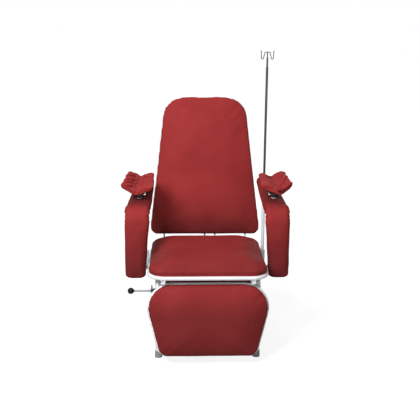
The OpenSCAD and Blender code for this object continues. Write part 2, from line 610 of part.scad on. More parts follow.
// Backrest: rim, straps, hinge lugs, push rod crank and slotted crank
back_foot = back_org + along(back_lean_angle) * (rim_d / 2 - rim_proud) - facing(back_lean_angle) * rim_d / 2;
slot_low = back_hinge + crank_dir * (gas_drop / cos(recline_angle / 2) + slot_end);
strap_shares = [0.17, 0.39, 0.61, 0.83];
function back_half(s) = back_w / 2 + (back_top_w - back_w) / 2 * s;
module back_frame() color(white) difference() {
  union() {
    panel(back_org, back_lean_angle) {
      rim(back_pts, back_rs);
      for (s = strap_shares) {
        half = back_half(s) - rim_d / 3;
        translate([-half, back_len * s - strap_w / 2, -strap_t]) cube([2 * half, strap_w, strap_t]);
      }
    }
    both_sides() side_plate(hinge_x - lug_t / 2, hinge_x + lug_t / 2)
      link_2d(back_hinge, back_foot, boss_r, rim_d / 2 - weld_sink);
    side_plate(-crank_t / 2, crank_t / 2) link_2d(rear_pin, back_foot, crank_r, rim_d / 2 - weld_sink);
    side_plate(gas_x - crank_t / 2, gas_x + crank_t / 2) {
      link_2d(slot_low, back_hinge, crank_r, crank_r);
      link_2d(back_hinge, back_foot, crank_r, rim_d / 2 - weld_sink);
    }
  }
  both_sides() side_rod(back_hinge, hinge_bolt_d + 2 * run_gap, hinge_x - lug_t, hinge_x + lug_t);
  side_rod(rear_pin, rod_bolt_d + 2 * run_gap, -crank_t, crank_t);
  slot_r = gas_pin_d / 2 + slot_play;
  side_plate(gas_x - crank_t, gas_x + crank_t)
    link_2d(back_hinge + crank_dir * (gas_drop - slot_end), slot_low, slot_r, slot_r);
}
module back_board() color(vinyl) panel(back_org, back_lean_angle)
  rounded_board(back_pts, back_rs, -board_inset, board_t);
module back_cushion() color(vinyl) panel(back_org, back_lean_angle) translate([0, 0, board_t + soft_gap])
  cushion(back_pts, back_rs, pad_t);

// Leg rest
leg_rim = leg_org + along(leg_lean_angle) * (leg_len + rim_proud - rim_d / 2)
  - facing(leg_lean_angle) * rim_d / 2;
lug_fall = 10;      // the rim has turned down this far where the lugs meet it
leg_lug = leg_rim - along(leg_lean_angle) * lug_fall;
leg_strap_shares = [0.3, 0.68];
function leg_half(s) = leg_foot_half + leg_len * s * tan(leg_taper_angle);
// Top edge of the leg cushion's corner at this distance from the middle
function leg_edge(x) = leg_len - leg_top_r
  + sqrt(pow(leg_top_r - cushion_inset, 2) - pow(x - leg_w / 2 + leg_top_r, 2));
module leg_frame() color(white) difference() {
  union() {
    panel(leg_org, leg_lean_angle) {
      rim(leg_pts, leg_rs);
      for (s = leg_strap_shares) {
        half = min(leg_half(s), leg_w / 2) - rim_d / 3;
        translate([-half, leg_len * s - strap_w / 2, -strap_t]) cube([2 * half, strap_w, strap_t]);
      }
    }
    both_sides() side_plate(hinge_x - lug_t / 2, hinge_x + lug_t / 2)
      link_2d(leg_hinge, leg_lug, boss_r, rim_d / 2 - weld_sink);
    side_plate(-crank_t / 2, crank_t / 2) link_2d(front_pin, leg_rim, crank_r, rim_d / 2 - weld_sink);
  }
  both_sides() side_rod(leg_hinge, hinge_bolt_d + 2 * run_gap, hinge_x - lug_t, hinge_x + lug_t);
  side_rod(front_pin, rod_bolt_d + 2 * run_gap, -crank_t, crank_t);
  // the lugs step round the board and the cushion
  panel(leg_org, leg_lean_angle) both_sides() translate([hinge_x - lug_t, 0, 0])
    cube([2 * lug_t, leg_edge(hinge_x - lug_t / 2) + soft_gap, pad_t]);
}
module leg_board() color(vinyl) panel(leg_org, leg_lean_angle)
  rounded_board(leg_pts, leg_rs, -board_inset, board_t);
module leg_cushion() color(vinyl) panel(leg_org, leg_lean_angle) translate([0, 0, board_t + soft_gap])
  cushion(leg_pts, leg_rs, pad_t);

// Push rod that makes the leg rest turn with the back
fork_reach = 40;    // keeps the fork's root clear of the crank when the leg rest is up
module push_rod() color(white) {
  u = unit(rear_pin - front_pin);
  difference() {
    union() {
      for (e = [[front_pin, u], [rear_pin, -u]]) {
        root = e[0] + e[1] * fork_reach;
        for (s = [-1, 1]) {
          x = s * (crank_t / 2 + fork_gap + fork_t / 2);
          side_plate(x - fork_t / 2, x + fork_t / 2) link_2d(e[0], root, crank_r, rod_d / 2);
        }
        side_rod(root, rod_d + 2 * weld_sink, -crank_t / 2 - fork_gap - fork_t - weld_sink,
                 crank_t / 2 + fork_gap + fork_t + weld_sink);
      }
      p = front_pin + u * fork_reach;
      translate([0, p[0], p[1]]) rotate([atan2(u[1], u[0]) - 90, 0, 0])
        cylinder(h = norm(rear_pin - front_pin) - 2 * fork_reach, d = rod_d);
    }
    for (p = [front_pin, rear_pin]) side_rod(p, rod_bolt_d + 2 * run_gap, -2 * crank_t, 2 * crank_t);
  }
}
module rod_bolt(p) color(steel) translate([-crank_t / 2 - fork_gap - fork_t, p[0], p[1]]) rotate([0, 90, 0])
  hex_bolt(rod_bolt_d, crank_t + 2 * fork_gap + 2 * fork_t + bolt_head, bolt_head);
module rod_rear_bolt() rod_bolt(rear_pin);
module rod_front_bolt() rod_bolt(front_pin);

// Arms: the centre line climbs, bends back at the knee and runs rearwards
arm_knee = [arm_y, arm_knee_z];
arm_dir = [cos(arm_rise_angle), sin(arm_rise_angle)];
arm_end = arm_knee + arm_len * arm_dir;
function arm_line(off) = let (c = tan((90 - arm_rise_angle) / 2))
  [[arm_y + off, arm_foot_z], [arm_y + off, arm_knee_z - off * c],
   arm_end + off * [arm_dir[1], -arm_dir[0]]];
arm_steps = 7;
low_steps = 5;
top_steps = 5;
// Stations along the pad: place on the line, direction, share of the way down or back
function arm_stations() = let (l = arm_line(0), b = bends(l, [0, arm_bend_r, 0], false)[1],
    low = on_arc(b, 0), high = on_arc(b, 1))
  concat([for (i = [0 : low_steps - 1]) let (s = i / low_steps) [l[0] + (low - l[0]) * s, 90, 1 - s, 0]],
    [for (i = [0 : arm_steps]) [on_arc(b, i / arm_steps), 90 - (90 - arm_rise_angle) * i / arm_steps, 0, 0]],
    [for (i = [1 : top_steps]) let (s = i / top_steps) [high + (l[2] - high) * s, arm_rise_angle, 0, s]]);
arm_round_steps = 3;
// Rounded bar section, width along X and thickness across the line, with a crowned outer face
function arm_section(w, t, r, crown) = [for (c = [[1, 1, 0], [-1, 1, 90], [-1, -1, 180], [1, -1, 270]])
  for (k = [0 : arm_round_steps])
  let (a = c[2] + 90 * k / arm_round_steps, x = c[0] * (w / 2 - r) + r * cos(a),
       y = c[1] * (t / 2 - r) + r * sin(a))
  [x, y > 0 ? y - crown * pow(2 * x / w, 2) : y]];
end_shares = [0.80, 0.95];
arm_crown = 5;
module arm_pad_form() {
  st = arm_stations();
  n = len(st);
  m = 4 * (arm_round_steps + 1);
  rings = [for (i = [0 : n - 1])
    let (s = st[i],
         w = arm_w + (arm_low_w - arm_w) * pow(s[2], 0.7) + (arm_rear_w - arm_w) * s[3],
         inner = arm_out - w,
         x0 = s[3] > 0 ? arm_out - arm_w / 2 - tan(arm_sweep_angle) * norm(s[0] - arm_knee) : inner + w / 2,
         near = min(i, n - 1 - i), k = near < 2 ? end_shares[near] : 1,
         a = s[1], sec = arm_section(w * k, arm_t * k, arm_corner_r * k, arm_crown))
    [for (p = sec) [x0 + p[0], s[0][0] - p[1] * sin(a), s[0][1] + p[1] * cos(a)]]];
  points = [for (r = rings) each r];
  faces = concat(
    [for (j = [0 : n - 2]) for (i = [0 : m - 1])
      each [[j * m + i, j * m + (i + 1) % m, (j + 1) * m + (i + 1) % m],
            [j * m + i, (j + 1) * m + (i + 1) % m, (j + 1) * m + i]]],
    [[for (i = [0 : m - 1]) m - 1 - i]],
    [[for (i = [0 : m - 1]) (n - 1) * m + i]]);
  polyhedron(points, faces);
}
// Frame of the trough post: stands square to the arm's upper stretch
swivel_x = arm_out - arm_w / 2 - tan(arm_sweep_angle) * trough_at;
swivel_foot = arm_knee + arm_dir * trough_at / arm_dir[0];
module at_swivel(up) translate([swivel_x, swivel_foot[0] - sin(arm_rise_angle) * up,
    swivel_foot[1] + cos(arm_rise_angle) * up]) rotate([arm_rise_angle, 0, 0]) children();
strip_off = arm_t / 2 + strip_gap + strip_t / 2;
swivel_proud = 5;   // swivel tube above the pad
socket_top = arm_t / 2 + swivel_proud;
swivel_hole = swivel_d + 2 * run_gap;
gusset_t = 6;
gusset_shares = [0.12, 0.55];
post_drop = 34;     // post's top below the knee
post_top_z = arm_knee_z - post_drop;
post_rise = 3;      // post's foot above the socket's mouth
post_foot_z = socket_z + post_rise;
strap_foot = 14;    // strip ends this far above the pad's foot
module arm_frame() {
  l = arm_line(strip_off);
  end = l[2] - arm_dir * 2 * strap_foot;
  difference() {
    union() {
      translate([swivel_x, 0, 0]) rotate([90, 0, 90])
        bent_bar([l[0] + [0, strap_foot], l[1], end], [0, arm_bend_r - strip_off, 0], strip_t, strip_w);
      translate([arm_post_x, socket_y, post_foot_z]) difference() {
        cylinder(h = post_top_z - post_foot_z, d = post_d);
        translate([0, 0, -overrun])
          cylinder(h = post_top_z - post_foot_z + 2 * overrun, d = post_d - 2 * tube_wall);
      }
      // pads between the strip and the post, and the gusset under the upper stretch
      for (z = [post_top_z - 2 * post_d, socket_z + socket_len + arm_lift / 4])
        translate([arm_post_x - post_d / 4, l[0][0], z])
          cube([post_d / 2, socket_y - l[0][0] - post_d / 2 + tube_wall, post_d]);
      side_plate(arm_post_x - gusset_t / 2, arm_post_x + gusset_t / 2) {
        y = socket_y + post_d / 2 - tube_wall / 2;
        s = l[1] + arm_dir * norm(end - l[1]) * gusset_shares[0];
        e = l[1] + arm_dir * norm(end - l[1]) * gusset_shares[1];
        polygon([[y, arm_knee_z - arm_len / 2], [e[0], e[1]], [s[0], s[1]], [y, post_top_z]]);
      }
      at_swivel(-strip_off) cylinder(h = strip_off + socket_top, d = swivel_d + 2 * swivel_wall);
    }
    at_swivel(-strip_off - strip_t) cylinder(h = 2 * arm_t, d = swivel_hole);
  }
}
module arm_pad() difference() {
  arm_pad_form();
  at_swivel(-arm_t) cylinder(h = 2 * arm_t, d = swivel_d + 2 * swivel_wall + 2 * soft_gap);
}
module arm_frame_left() color(white) mirror([1, 0, 0]) arm_frame();
module arm_frame_right() color(white) arm_frame();
module arm_pad_left() color(vinyl) mirror([1, 0, 0]) arm_pad();
module arm_pad_right() color(vinyl) arm_pad();

lobes = 6;
lobe_share = 0.16;
module star_knob(d, t) difference() {
  cylinder(h = t, d = d);
  for (i = [0 : lobes - 1]) rotate([0, 0, 360 * i / lobes])
    translate([d * (1 + lobe_share / 2) / 2, 0, -overrun]) cylinder(h = t + 2 * overrun, r = d * lobe_share);
}
screw_tip = 0.1;    // gap between a backed-off screw and what it clamps
module clamp_knob(reach) {
  cylinder(h = reach, d = screw_d);
  translate([0, 0, reach]) star_knob(knob_d, knob_t);
}
arm_knob_reach = 12;
module arm_knob() translate([arm_post_x, socket_y + post_d / 2 + screw_tip, arm_knob_z])
  rotate([-90, 0, 0]) clamp_knob(arm_knob_reach);
module arm_knob_left() color(dark) mirror([1, 0, 0]) arm_knob();
module arm_knob_right() color(dark) arm_knob();

// Arm troughs: swivel post, tilting cradle, padded trough and a cross bolt with a round knob
head_w = 18;
head_h = 22;
swivel_reach = 50;
cradle_t = 3;
cradle_w = 56;
cradle_len = 110;
cradle_ear_t = 4;
cradle_gap = 0.5;
collar_h = 3;
module trough_post() difference() {
  union() {
    at_swivel(socket_top - swivel_reach) cylinder(h = swivel_reach + collar_h, d = swivel_d);
    at_swivel(socket_top + run_gap) cylinder(h = collar_h, d = swivel_d + 2 * swivel_wall);
    intersection() {
      at_swivel(socket_top + collar_h) translate([-head_w / 2, -head_w / 2, 0])
        cube([head_w, head_w, head_h]);
      at_swivel(socket_top + collar_h) translate([-head_w, 0, tilt_up - socket_top + arm_t / 2 - collar_h])
        rotate([0, 90, 0]) cylinder(h = 2 * head_w, d = 1.9 * head_w);
    }
  }
  at_tilt() cylinder(h = 4 * head_w, d = tilt_bolt_d + 2 * run_gap, center = true);
}
// Axis of the tilt bolt, running along X
module at_tilt() at_swivel(arm_t / 2 + tilt_up) rotate([0, 90, 0]) children();
bed_up = 17;        // cradle plate above the tilt axis
bed_fwd = 65;       // trough's front end ahead of the tilt axis
module at_bed() at_swivel(arm_t / 2 + tilt_up) rotate([trough_pitch_angle - arm_rise_angle, 0, 0])
  rotate([0, 0, arm_sweep_angle]) children();
module trough_cradle() difference() {
  union() {
    at_bed() translate([-cradle_w / 2, -cradle_len * 0.35, bed_up]) cube([cradle_w, cradle_len, cradle_t]);
    for (s = [-1, 1]) {
      x = s * (head_w / 2 + cradle_gap + cradle_ear_t / 2);
      at_swivel(arm_t / 2 + tilt_up) rotate([trough_pitch_angle - arm_rise_angle, 0, 0]) translate([x, 0, 0])
        side_plate(-cradle_ear_t / 2, cradle_ear_t / 2)
        link_2d([0, 0], [0, bed_up + cradle_t / 2], tilt_bolt_d, tilt_bolt_d * 1.4);
    }
  }
  at_tilt() cylinder(h = 4 * head_w, d = tilt_bolt_d + 2 * run_gap, center = true);
  at_bed() translate([-cradle_w, -cradle_len, bed_up + cradle_t]) cube([2 * cradle_w, 2 * cradle_len, bed_up]);
}
trough_steps = 8;
wing_steps = 5;
trough_end_shares = [0.86, 0.97];
trough_shift = 7;   // trough's middle outside its post
module trough_pad() at_bed() translate([trough_shift, -bed_fwd, bed_up + cradle_t + soft_gap]) {
  m = 2 * (2 * wing_steps + 1);
  rings = [for (j = [0 : trough_steps])
    let (s = j / trough_steps, near = min(j, trough_steps - j), k = near < 2 ? trough_end_shares[near] : 1,
         w = (trough_w + (trough_rear_w - trough_w) * s) * k, t = trough_t * k, lift = trough_t * (1 - k) / 2)
    concat(
      [for (i = [-wing_steps : wing_steps]) let (c = i / wing_steps, rim = 1 - pow(abs(c), 6) * 0.45)
        [w / 2 * c, trough_len * s, lift + t * rim + trough_dip * pow(abs(c), 1.6)]],
      [for (i = [wing_steps : -1 : -wing_steps]) let (c = i / wing_steps, flat = max(0, abs(c) - 0.25) / 0.75)
        [w / 2 * c * 0.97, trough_len * s, lift + trough_dip * pow(flat, 1.3) + (abs(c) == 1 ? t * 0.2 : 0)]])];
  points = [for (r = rings) each r];
  faces = concat(
    [for (j = [0 : trough_steps - 1]) for (i = [0 : m - 1])
      each [[j * m + i, j * m + (i + 1) % m, (j + 1) * m + (i + 1) % m],
            [j * m + i, (j + 1) * m + (i + 1) % m, (j + 1) * m + i]]],
    [[for (i = [0 : m - 1]) m - 1 - i]],
    [[for (i = [0 : m - 1]) trough_steps * m + i]]);
  polyhedron(points, faces);
}
chrome_d = 22;
chrome_t = 14;
tilt_bolt_len = head_w + 2 * cradle_gap + 2 * cradle_ear_t + 2 * cradle_gap;
module trough_knob() at_tilt() {
  translate([0, 0, -tilt_bolt_len / 2]) cylinder(h = tilt_bolt_len, d = tilt_bolt_d);
  translate([0, 0, tilt_bolt_len / 2]) cylinder(h = bolt_head, d = tilt_bolt_d * 1.8, $fn = 6);
  translate([0, 0, -tilt_bolt_len / 2 - chrome_t]) rotate_extrude()
    polygon([[0, 0], [chrome_d * 0.42, 0], [chrome_d / 2, chrome_t * 0.2], [chrome_d / 2, chrome_t * 0.65],
             [chrome_d * 0.3, chrome_t * 0.85], [chrome_d * 0.3, chrome_t], [0, chrome_t]]);
}
module trough_post_left() color(dark) mirror([1, 0, 0]) trough_post();
module trough_post_right() color(dark) trough_post();
module trough_cradle_left() color(dark) mirror([1, 0, 0]) trough_cradle();
module trough_cradle_right() color(dark) trough_cradle();
module trough_pad_left() color(vinyl) mirror([1, 0, 0]) trough_pad();
module trough_pad_right() color(vinyl) trough_pad();
module trough_knob_left() color(steel) mirror([1, 0, 0]) trough_knob();
module trough_knob_right() color(steel) trough_knob();

// Drip pole: fixed tube, collar with its screw, sliding pole and turning hooks
collar_len = 34;
collar_wall = 6;
collar_bite = 16;   // collar over the fixed tube
module pole_tube() color(white) translate([pole_x, pole_y, sleeve_z]) difference() {
  cylinder(h = pole_tube_top - sleeve_z, d = pole_tube_d);
  translate([0, 0, -overrun]) cylinder(h = pole_tube_top, d = pole_d + 2 * run_gap);
}
pole_knob_z = pole_tube_top + (collar_len - collar_bite) / 2;
module pole_collar() color(dark) difference() {
  translate([pole_x, pole_y, pole_tube_top - collar_bite])
    cylinder(h = collar_len, d = pole_tube_d + 2 * collar_wall);
  translate([pole_x, pole_y, pole_tube_top - collar_bite - overrun])
    cylinder(h = collar_bite + overrun, d = pole_tube_d + 2 * run_gap);
  translate([pole_x, pole_y, 0]) cylinder(h = pole_top_z, d = pole_d + 2 * run_gap);
  translate([pole_x, pole_y, pole_knob_z]) rotate([-90, 0, 0]) cylinder(h = knob_d, d = screw_d + 2 * run_gap);
}
pole_knob_reach = 14;
module pole_knob() color(dark) translate([pole_x, pole_y + pole_d / 2 + screw_tip, pole_knob_z])
  rotate([-90, 0, 0]) clamp_knob(pole_knob_reach);
pole_stop = 70;     // foot of the sliding pole above the sleeve's foot
pole_foot = sleeve_z + pole_stop;
neck_d = 9;
neck_len = 30;
shoulder = 4;
hook_rise = 40;     // crossbar above the pole's shoulder
pole_shoulder_z = pole_top_z - hook_rise;
pin_depth = 25;
pin_d = 6;
module pole() color(steel) translate([pole_x, pole_y, 0]) difference() {
  union() {
    translate([0, 0, pole_foot]) cylinder(h = pole_shoulder_z - neck_len - shoulder - pole_foot, d = pole_d);
    translate([0, 0, pole_shoulder_z - neck_len - shoulder]) cylinder(h = shoulder, d1 = pole_d, d2 = neck_d);
    translate([0, 0, pole_shoulder_z - neck_len]) cylinder(h = neck_len, d = neck_d);
  }
  translate([0, 0, pole_shoulder_z - pin_depth - run_gap])
    cylinder(h = pin_depth + overrun, d = pin_d + 2 * run_gap);
}
hook_shares = [[0.40, 0], [0.66, -0.56], [0.94, -0.56], [1, 0.08]];
hook_half = 31;
hook_height = 60;
hook_bend_r = 4;
module pole_hooks() color(steel) translate([pole_x, pole_y, pole_top_z]) {
  translate([0, 0, -hook_rise - pin_depth]) cylinder(h = pin_depth, d = pin_d);
  translate([0, 0, -hook_rise + run_gap]) cylinder(h = 3 * shoulder, d = neck_d);
  translate([0, 0, -hook_rise - weld_sink]) cylinder(h = hook_rise + weld_sink, d = 1.3 * wire_d);
  rotate([90, 0, 0]) bent_bar([for (k = [-4 : 4]) if (k != 0) let (p = hook_shares[abs(k) - 1])
    [sign(k) * p[0] * hook_half, p[1] * hook_height]],
    [0, hook_bend_r, hook_bend_r, hook_bend_r, hook_bend_r, hook_bend_r, hook_bend_r, 0], wire_d);
  both_sides() translate([hook_half, 0, hook_shares[3][1] * hook_height]) sphere(d = 1.5 * wire_d);
}

side_frame_left();
side_frame_right();
cross_tubes();
foot_caps();
seat_frame();
seat_bolts();
seat_board();
seat_cushion();
front_apron();
leg_hinge_bolts();
back_hinge_bolts();
gas_cylinder();
gas_cylinder_bolt();
lever_bracket();
lever_pin();
pole_tube();
pole_collar();
back_frame();
back_board();
back_cushion();
leg_frame();
leg_board();
leg_cushion();
push_rod();
rod_rear_bolt();
rod_front_bolt();
gas_rod();
release_lever();
lever_knob();
arm_frame_left();
arm_pad_left();
arm_frame_right();
arm_pad_right();
arm_knob_left();
arm_knob_right();
pole_knob();
trough_post_left();
trough_cradle_left();
trough_pad_left();
trough_knob_left();
trough_post_right();
trough_cradle_right();
trough_pad_right();
trough_knob_right();
pole();
pole_hooks();
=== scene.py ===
import json
import math

import bpy
import numpy as np
from mathutils import Matrix, Vector, noise


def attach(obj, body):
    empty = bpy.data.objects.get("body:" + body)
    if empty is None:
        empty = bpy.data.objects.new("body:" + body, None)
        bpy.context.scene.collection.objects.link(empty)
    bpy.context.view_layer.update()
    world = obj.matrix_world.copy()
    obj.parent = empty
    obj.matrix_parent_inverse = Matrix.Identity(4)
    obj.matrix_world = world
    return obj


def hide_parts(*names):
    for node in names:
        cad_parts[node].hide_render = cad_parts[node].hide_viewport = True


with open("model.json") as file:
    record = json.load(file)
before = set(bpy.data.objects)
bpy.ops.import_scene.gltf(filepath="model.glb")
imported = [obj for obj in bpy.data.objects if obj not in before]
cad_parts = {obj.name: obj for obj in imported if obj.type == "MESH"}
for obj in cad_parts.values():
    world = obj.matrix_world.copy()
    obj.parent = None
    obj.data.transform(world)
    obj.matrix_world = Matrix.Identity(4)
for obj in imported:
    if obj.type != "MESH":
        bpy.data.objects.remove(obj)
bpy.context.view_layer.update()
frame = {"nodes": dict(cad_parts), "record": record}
print("frame loaded")

# Places shared by several pieces, the same as in the CAD. A foot is the lower edge of a board's rear face:
# how far it lies above the hinge along its panel, and how far behind it.
chair = {
    "seatFrontY": -0.314, "seatTopZ": 0.425, "boardThick": 0.012, "softGap": 0.0003,
    "backHinge": (0.221, 0.430), "backLean": math.radians(11.5), "backFoot": (0.037, 0.0014),
    "legHinge": (-0.304, 0.392), "legLean": math.radians(9.7), "legFoot": (-0.3487, 0.0209),
    "legX": 0.233, "frontLegY": -0.255, "rearLegY": 0.216, "railZ": 0.391,
}


def climbing(tilt):
    return Vector((0, math.sin(tilt), math.cos(tilt)))


def facing(tilt):
    return Vector((0, -math.cos(tilt), math.sin(tilt)))


def panelPlane(hinge, tilt, foot):
    # local x stays across the chair, y climbs the panel, z points out of its face
    up, out = climbing(tilt), facing(tilt)
    origin = Vector((0, *hinge)) + up * foot[0] - out * foot[1]
    return Matrix(((1, 0, 0, origin[0]), (0, up[1], out[1], origin[1]),
                   (0, up[2], out[2], origin[2]), (0, 0, 0, 1)))


seatPlane = Matrix.Translation((0, chair["seatFrontY"], chair["seatTopZ"]))
backPlane = panelPlane(chair["backHinge"], chair["backLean"], chair["backFoot"])
legPlane = panelPlane(chair["legHinge"], chair["legLean"], chair["legFoot"])
mirrorX = Matrix.Scale(-1, 4, (1, 0, 0))


# Materials
def blankFinish(name):
    material = bpy.data.materials.new(name)
    material.use_nodes = True
    tree = material.node_tree
    return material, tree, tree.nodes["Principled BSDF"]


def addNode(tree, kind, inputs=None, **settings):
    # a socket is linked, and any other value is set on the node's own socket
    node = tree.nodes.new("ShaderNode" + kind)
    for key, value in settings.items():
        setattr(node, key, value)
    for key, value in (inputs or {}).items():
        if isinstance(value, bpy.types.NodeSocket):
            tree.links.new(value, node.inputs[key])
        else:
            node.inputs[key].default_value = value
    return node


def noiseOf(tree, place, scale, detail=2.0, rough=0.5, distortion=0.0):
    inputs = {"Vector": place, "Scale": scale, "Detail": detail, "Roughness": rough,
              "Distortion": distortion}
    return addNode(tree, "TexNoise", inputs).outputs["Fac"]


def rampOf(tree, factor, low, high, toLow=0.0, toHigh=1.0):
    inputs = {"Value": factor, "From Min": low, "From Max": high, "To Min": toLow, "To Max": toHigh}
    return addNode(tree, "MapRange", inputs).outputs["Result"]


def blendOf(tree, factor, first, second):
    node = addNode(tree, "Mix", data_type="RGBA")
    for socket, value in ((node.inputs[0], factor), (node.inputs[6], first), (node.inputs[7], second)):
        if isinstance(value, bpy.types.NodeSocket):
            tree.links.new(value, socket)
        else:
            socket.default_value = value
    return node.outputs[2]


def bumpOf(tree, height, depth, strength=1.0, base=None):
    inputs = {"Height": height, "Distance": depth, "Strength": strength}
    if base:
        inputs["Normal"] = base
    return addNode(tree, "Bump", inputs).outputs["Normal"]


def linear(red, green, blue):
    # picture tones from 0 to 255 as linear light
    def light(tone):
        return tone / 255 / 12.92 if tone <= 10 else ((tone / 255 + 0.055) / 1.055) ** 2.4
    return light(red), light(green), light(blue), 1


vinylLook = {
    "main": linear(152, 50, 50), "deep": linear(141, 44, 45), "worn": linear(164, 58, 56),
    "toneScale": 7, "rubScale": 23, "rubShare": 0.35, "grainScale": 760, "grainDepth": 0.00022,
    "creaseScale": 38, "creaseDepth": 0.0006, "patchScale": 60, "rough": (0.52, 0.66), "shine": 0.04,
    "recessShade": 0.85, "recessReach": 0.16, "recessRange": (0.15, 0.85),
    "shadeValue": 0.42, "shadeSaturation": 0.94, "hollows": (0.40, 0.495), "ridges": (0.505, 0.60),
}


def vinylFinish(name, creases=1.0, recessShade=1.0, foldShading=0.0, shadeFades=(), **changed):
    # coated cloth: pebble grain, faint stretch creases, slow changes of tone, with painted shade in recesses,
    # toward one end and in folds, and a painted highlight on fold ridges
    look = {**vinylLook, **changed}
    material, tree, shader = blankFinish(name)
    place = addNode(tree, "TexCoord").outputs["Object"]
    tone = rampOf(tree, noiseOf(tree, place, look["toneScale"], 3), 0.3, 0.7)
    colour = blendOf(tree, tone, look["deep"], look["main"])
    rub = rampOf(tree, noiseOf(tree, place, look["rubScale"], 6, 0.62), 0.60, 0.80, 0, look["rubShare"])
    worn = blendOf(tree, rub, colour, look["worn"])
    # a darker copy of the cover's colour, which the painted shade below blends toward
    shade = addNode(tree, "HueSaturation", {"Color": worn, "Value": look["shadeValue"],
                                            "Saturation": look["shadeSaturation"]}).outputs["Color"]
    # painted shade: the cover is darker in the recesses where pieces meet
    openness = addNode(tree, "AmbientOcclusion", {"Distance": look["recessReach"]}, samples=6).outputs["AO"]
    depth = rampOf(tree, openness, *look["recessRange"], look["recessShade"] * recessShade, 0)
    shadedColour = blendOf(tree, depth, worn, shade)
    # painted shade toward one end as well, as in the photograph: axis, where it is darkest, where it stops,
    # and how much
    for axis, darkAt, clearAt, share in shadeFades:
        spread = addNode(tree, "SeparateXYZ", {"Vector": place}).outputs[axis]
        shadedColour = blendOf(tree, rampOf(tree, spread, darkAt, clearAt, share, 0), shadedColour, shade)
    if foldShading:
        # painted shade: the bottoms of loose folds are darker than their backs, and their ridges get a
        # painted highlight in the pale worn tone
        bend = addNode(tree, "NewGeometry").outputs["Pointiness"]
        shadedColour = blendOf(tree, rampOf(tree, bend, *look["hollows"], foldShading, 0), shadedColour, shade)
        shadedColour = blendOf(tree, rampOf(tree, bend, *look["ridges"], 0, foldShading), shadedColour, look["worn"])
    tree.links.new(shadedColour, shader.inputs["Base Color"])
    pebble = addNode(tree, "TexVoronoi", {"Vector": place, "Scale": look["grainScale"], "Randomness": 1.0})
    grain = bumpOf(tree, pebble.outputs["Distance"], look["grainDepth"], 0.55)
    fold = noiseOf(tree, place, look["creaseScale"], 5, 0.58, 1.4)
    tree.links.new(bumpOf(tree, fold, look["creaseDepth"] * creases, 0.5, grain), shader.inputs["Normal"])
    patches = noiseOf(tree, place, look["patchScale"], 3)
    tree.links.new(rampOf(tree, patches, 0.3, 0.7, *look["rough"]), shader.inputs["Roughness"])
    shader.inputs["Specular IOR Level"].default_value = look["shine"]
    return material


paintLook = {
    "white": linear(240, 242, 246), "shade": linear(230, 233, 238), "scuff": linear(122, 122, 128),
    "toneScale": 9, "scuffScale": 95, "scuffHeights": (0.16, 0.02), "peelScale": 420, "peelDepth": 0.00012,
    "patchScale": 30, "rough": (0.22, 0.34),
}


def paintFinish(name, look):
    # powder coat: orange peel, with grey scuffs on the lowest part of the legs
    material, tree, shader = blankFinish(name)
    place = addNode(tree, "TexCoord").outputs["Object"]
    tone = rampOf(tree, noiseOf(tree, place, look["toneScale"], 3), 0.35, 0.7)
    height = addNode(tree, "SeparateXYZ", {"Vector": place}).outputs["Z"]
    low = rampOf(tree, height, *look["scuffHeights"], 0, 1)
    specks = rampOf(tree, noiseOf(tree, place, look["scuffScale"], 6, 0.7), 0.56, 0.66)
    mask = addNode(tree, "Math", {0: low, 1: specks}, operation="MULTIPLY").outputs[0]
    colour = blendOf(tree, tone, look["shade"], look["white"])
    tree.links.new(blendOf(tree, mask, colour, look["scuff"]), shader.inputs["Base Color"])
    peel = noiseOf(tree, place, look["peelScale"], 2)
    tree.links.new(bumpOf(tree, peel, look["peelDepth"], 0.5), shader.inputs["Normal"])
    patches = noiseOf(tree, place, look["patchScale"], 2)
    tree.links.new(rampOf(tree, patches, 0.3, 0.7, *look["rough"]), shader.inputs["Roughness"])
    return material


def metalFinish(name, colour, dark, rough, streak, depth=0.00006):
    # streak squeezes the noise along each axis, which draws brush lines along the piece
    material, tree, shader = blankFinish(name)
    place = addNode(tree, "TexCoord").outputs["Object"]
    drawn = addNode(tree, "Mapping", {"Vector": place, "Scale": streak}).outputs["Vector"]
    lines = noiseOf(tree, drawn, 40, 4, 0.6)
    tree.links.new(blendOf(tree, rampOf(tree, lines, 0.3, 0.7), dark, colour), shader.inputs["Base Color"])
    tree.links.new(rampOf(tree, lines, 0.25, 0.75, *rough), shader.inputs["Roughness"])
    tree.links.new(bumpOf(tree, lines, depth, 0.4), shader.inputs["Normal"])
    shader.inputs["Metallic"].default_value = 1.0
    return material


def mouldedFinish(name, colour, dark, rough, scale, depth, shine=0.5):
    # plastic, black steel and rubber: a fine speckle in tone and surface
    material, tree, shader = blankFinish(name)
    place = addNode(tree, "TexCoord").outputs["Object"]
    speckle = noiseOf(tree, place, scale, 3, 0.6)
    tone = rampOf(tree, speckle, 0.35, 0.65)
    tree.links.new(blendOf(tree, tone, dark, colour), shader.inputs["Base Color"])
    tree.links.new(bumpOf(tree, speckle, depth, 0.5), shader.inputs["Normal"])
    patches = noiseOf(tree, place, scale / 6, 2)
    tree.links.new(rampOf(tree, patches, 0.3, 0.7, *rough), shader.inputs["Roughness"])
    shader.inputs["Specular IOR Level"].default_value = shine
    return material


redVinyl = vinylFinish("redVinyl")
looseVinyl = vinylFinish("looseVinyl", creases=1.2, recessShade=0.8, foldShading=0.8)
apronVinyl = vinylFinish("apronVinyl", recessShade=0.0)
# painted shade: the seat, back and leg rest covers are darker lower down
seatVinyl = vinylFinish("seatVinyl", shadeFades=(("Z", 0.465, 0.520, 0.42),))
backVinyl = vinylFinish("backVinyl", shadeFades=(("Z", 0.450, 0.680, 0.66),))
legVinyl = vinylFinish("legVinyl", shadeFades=(("Z", 0.240, 0.390, 0.56),))
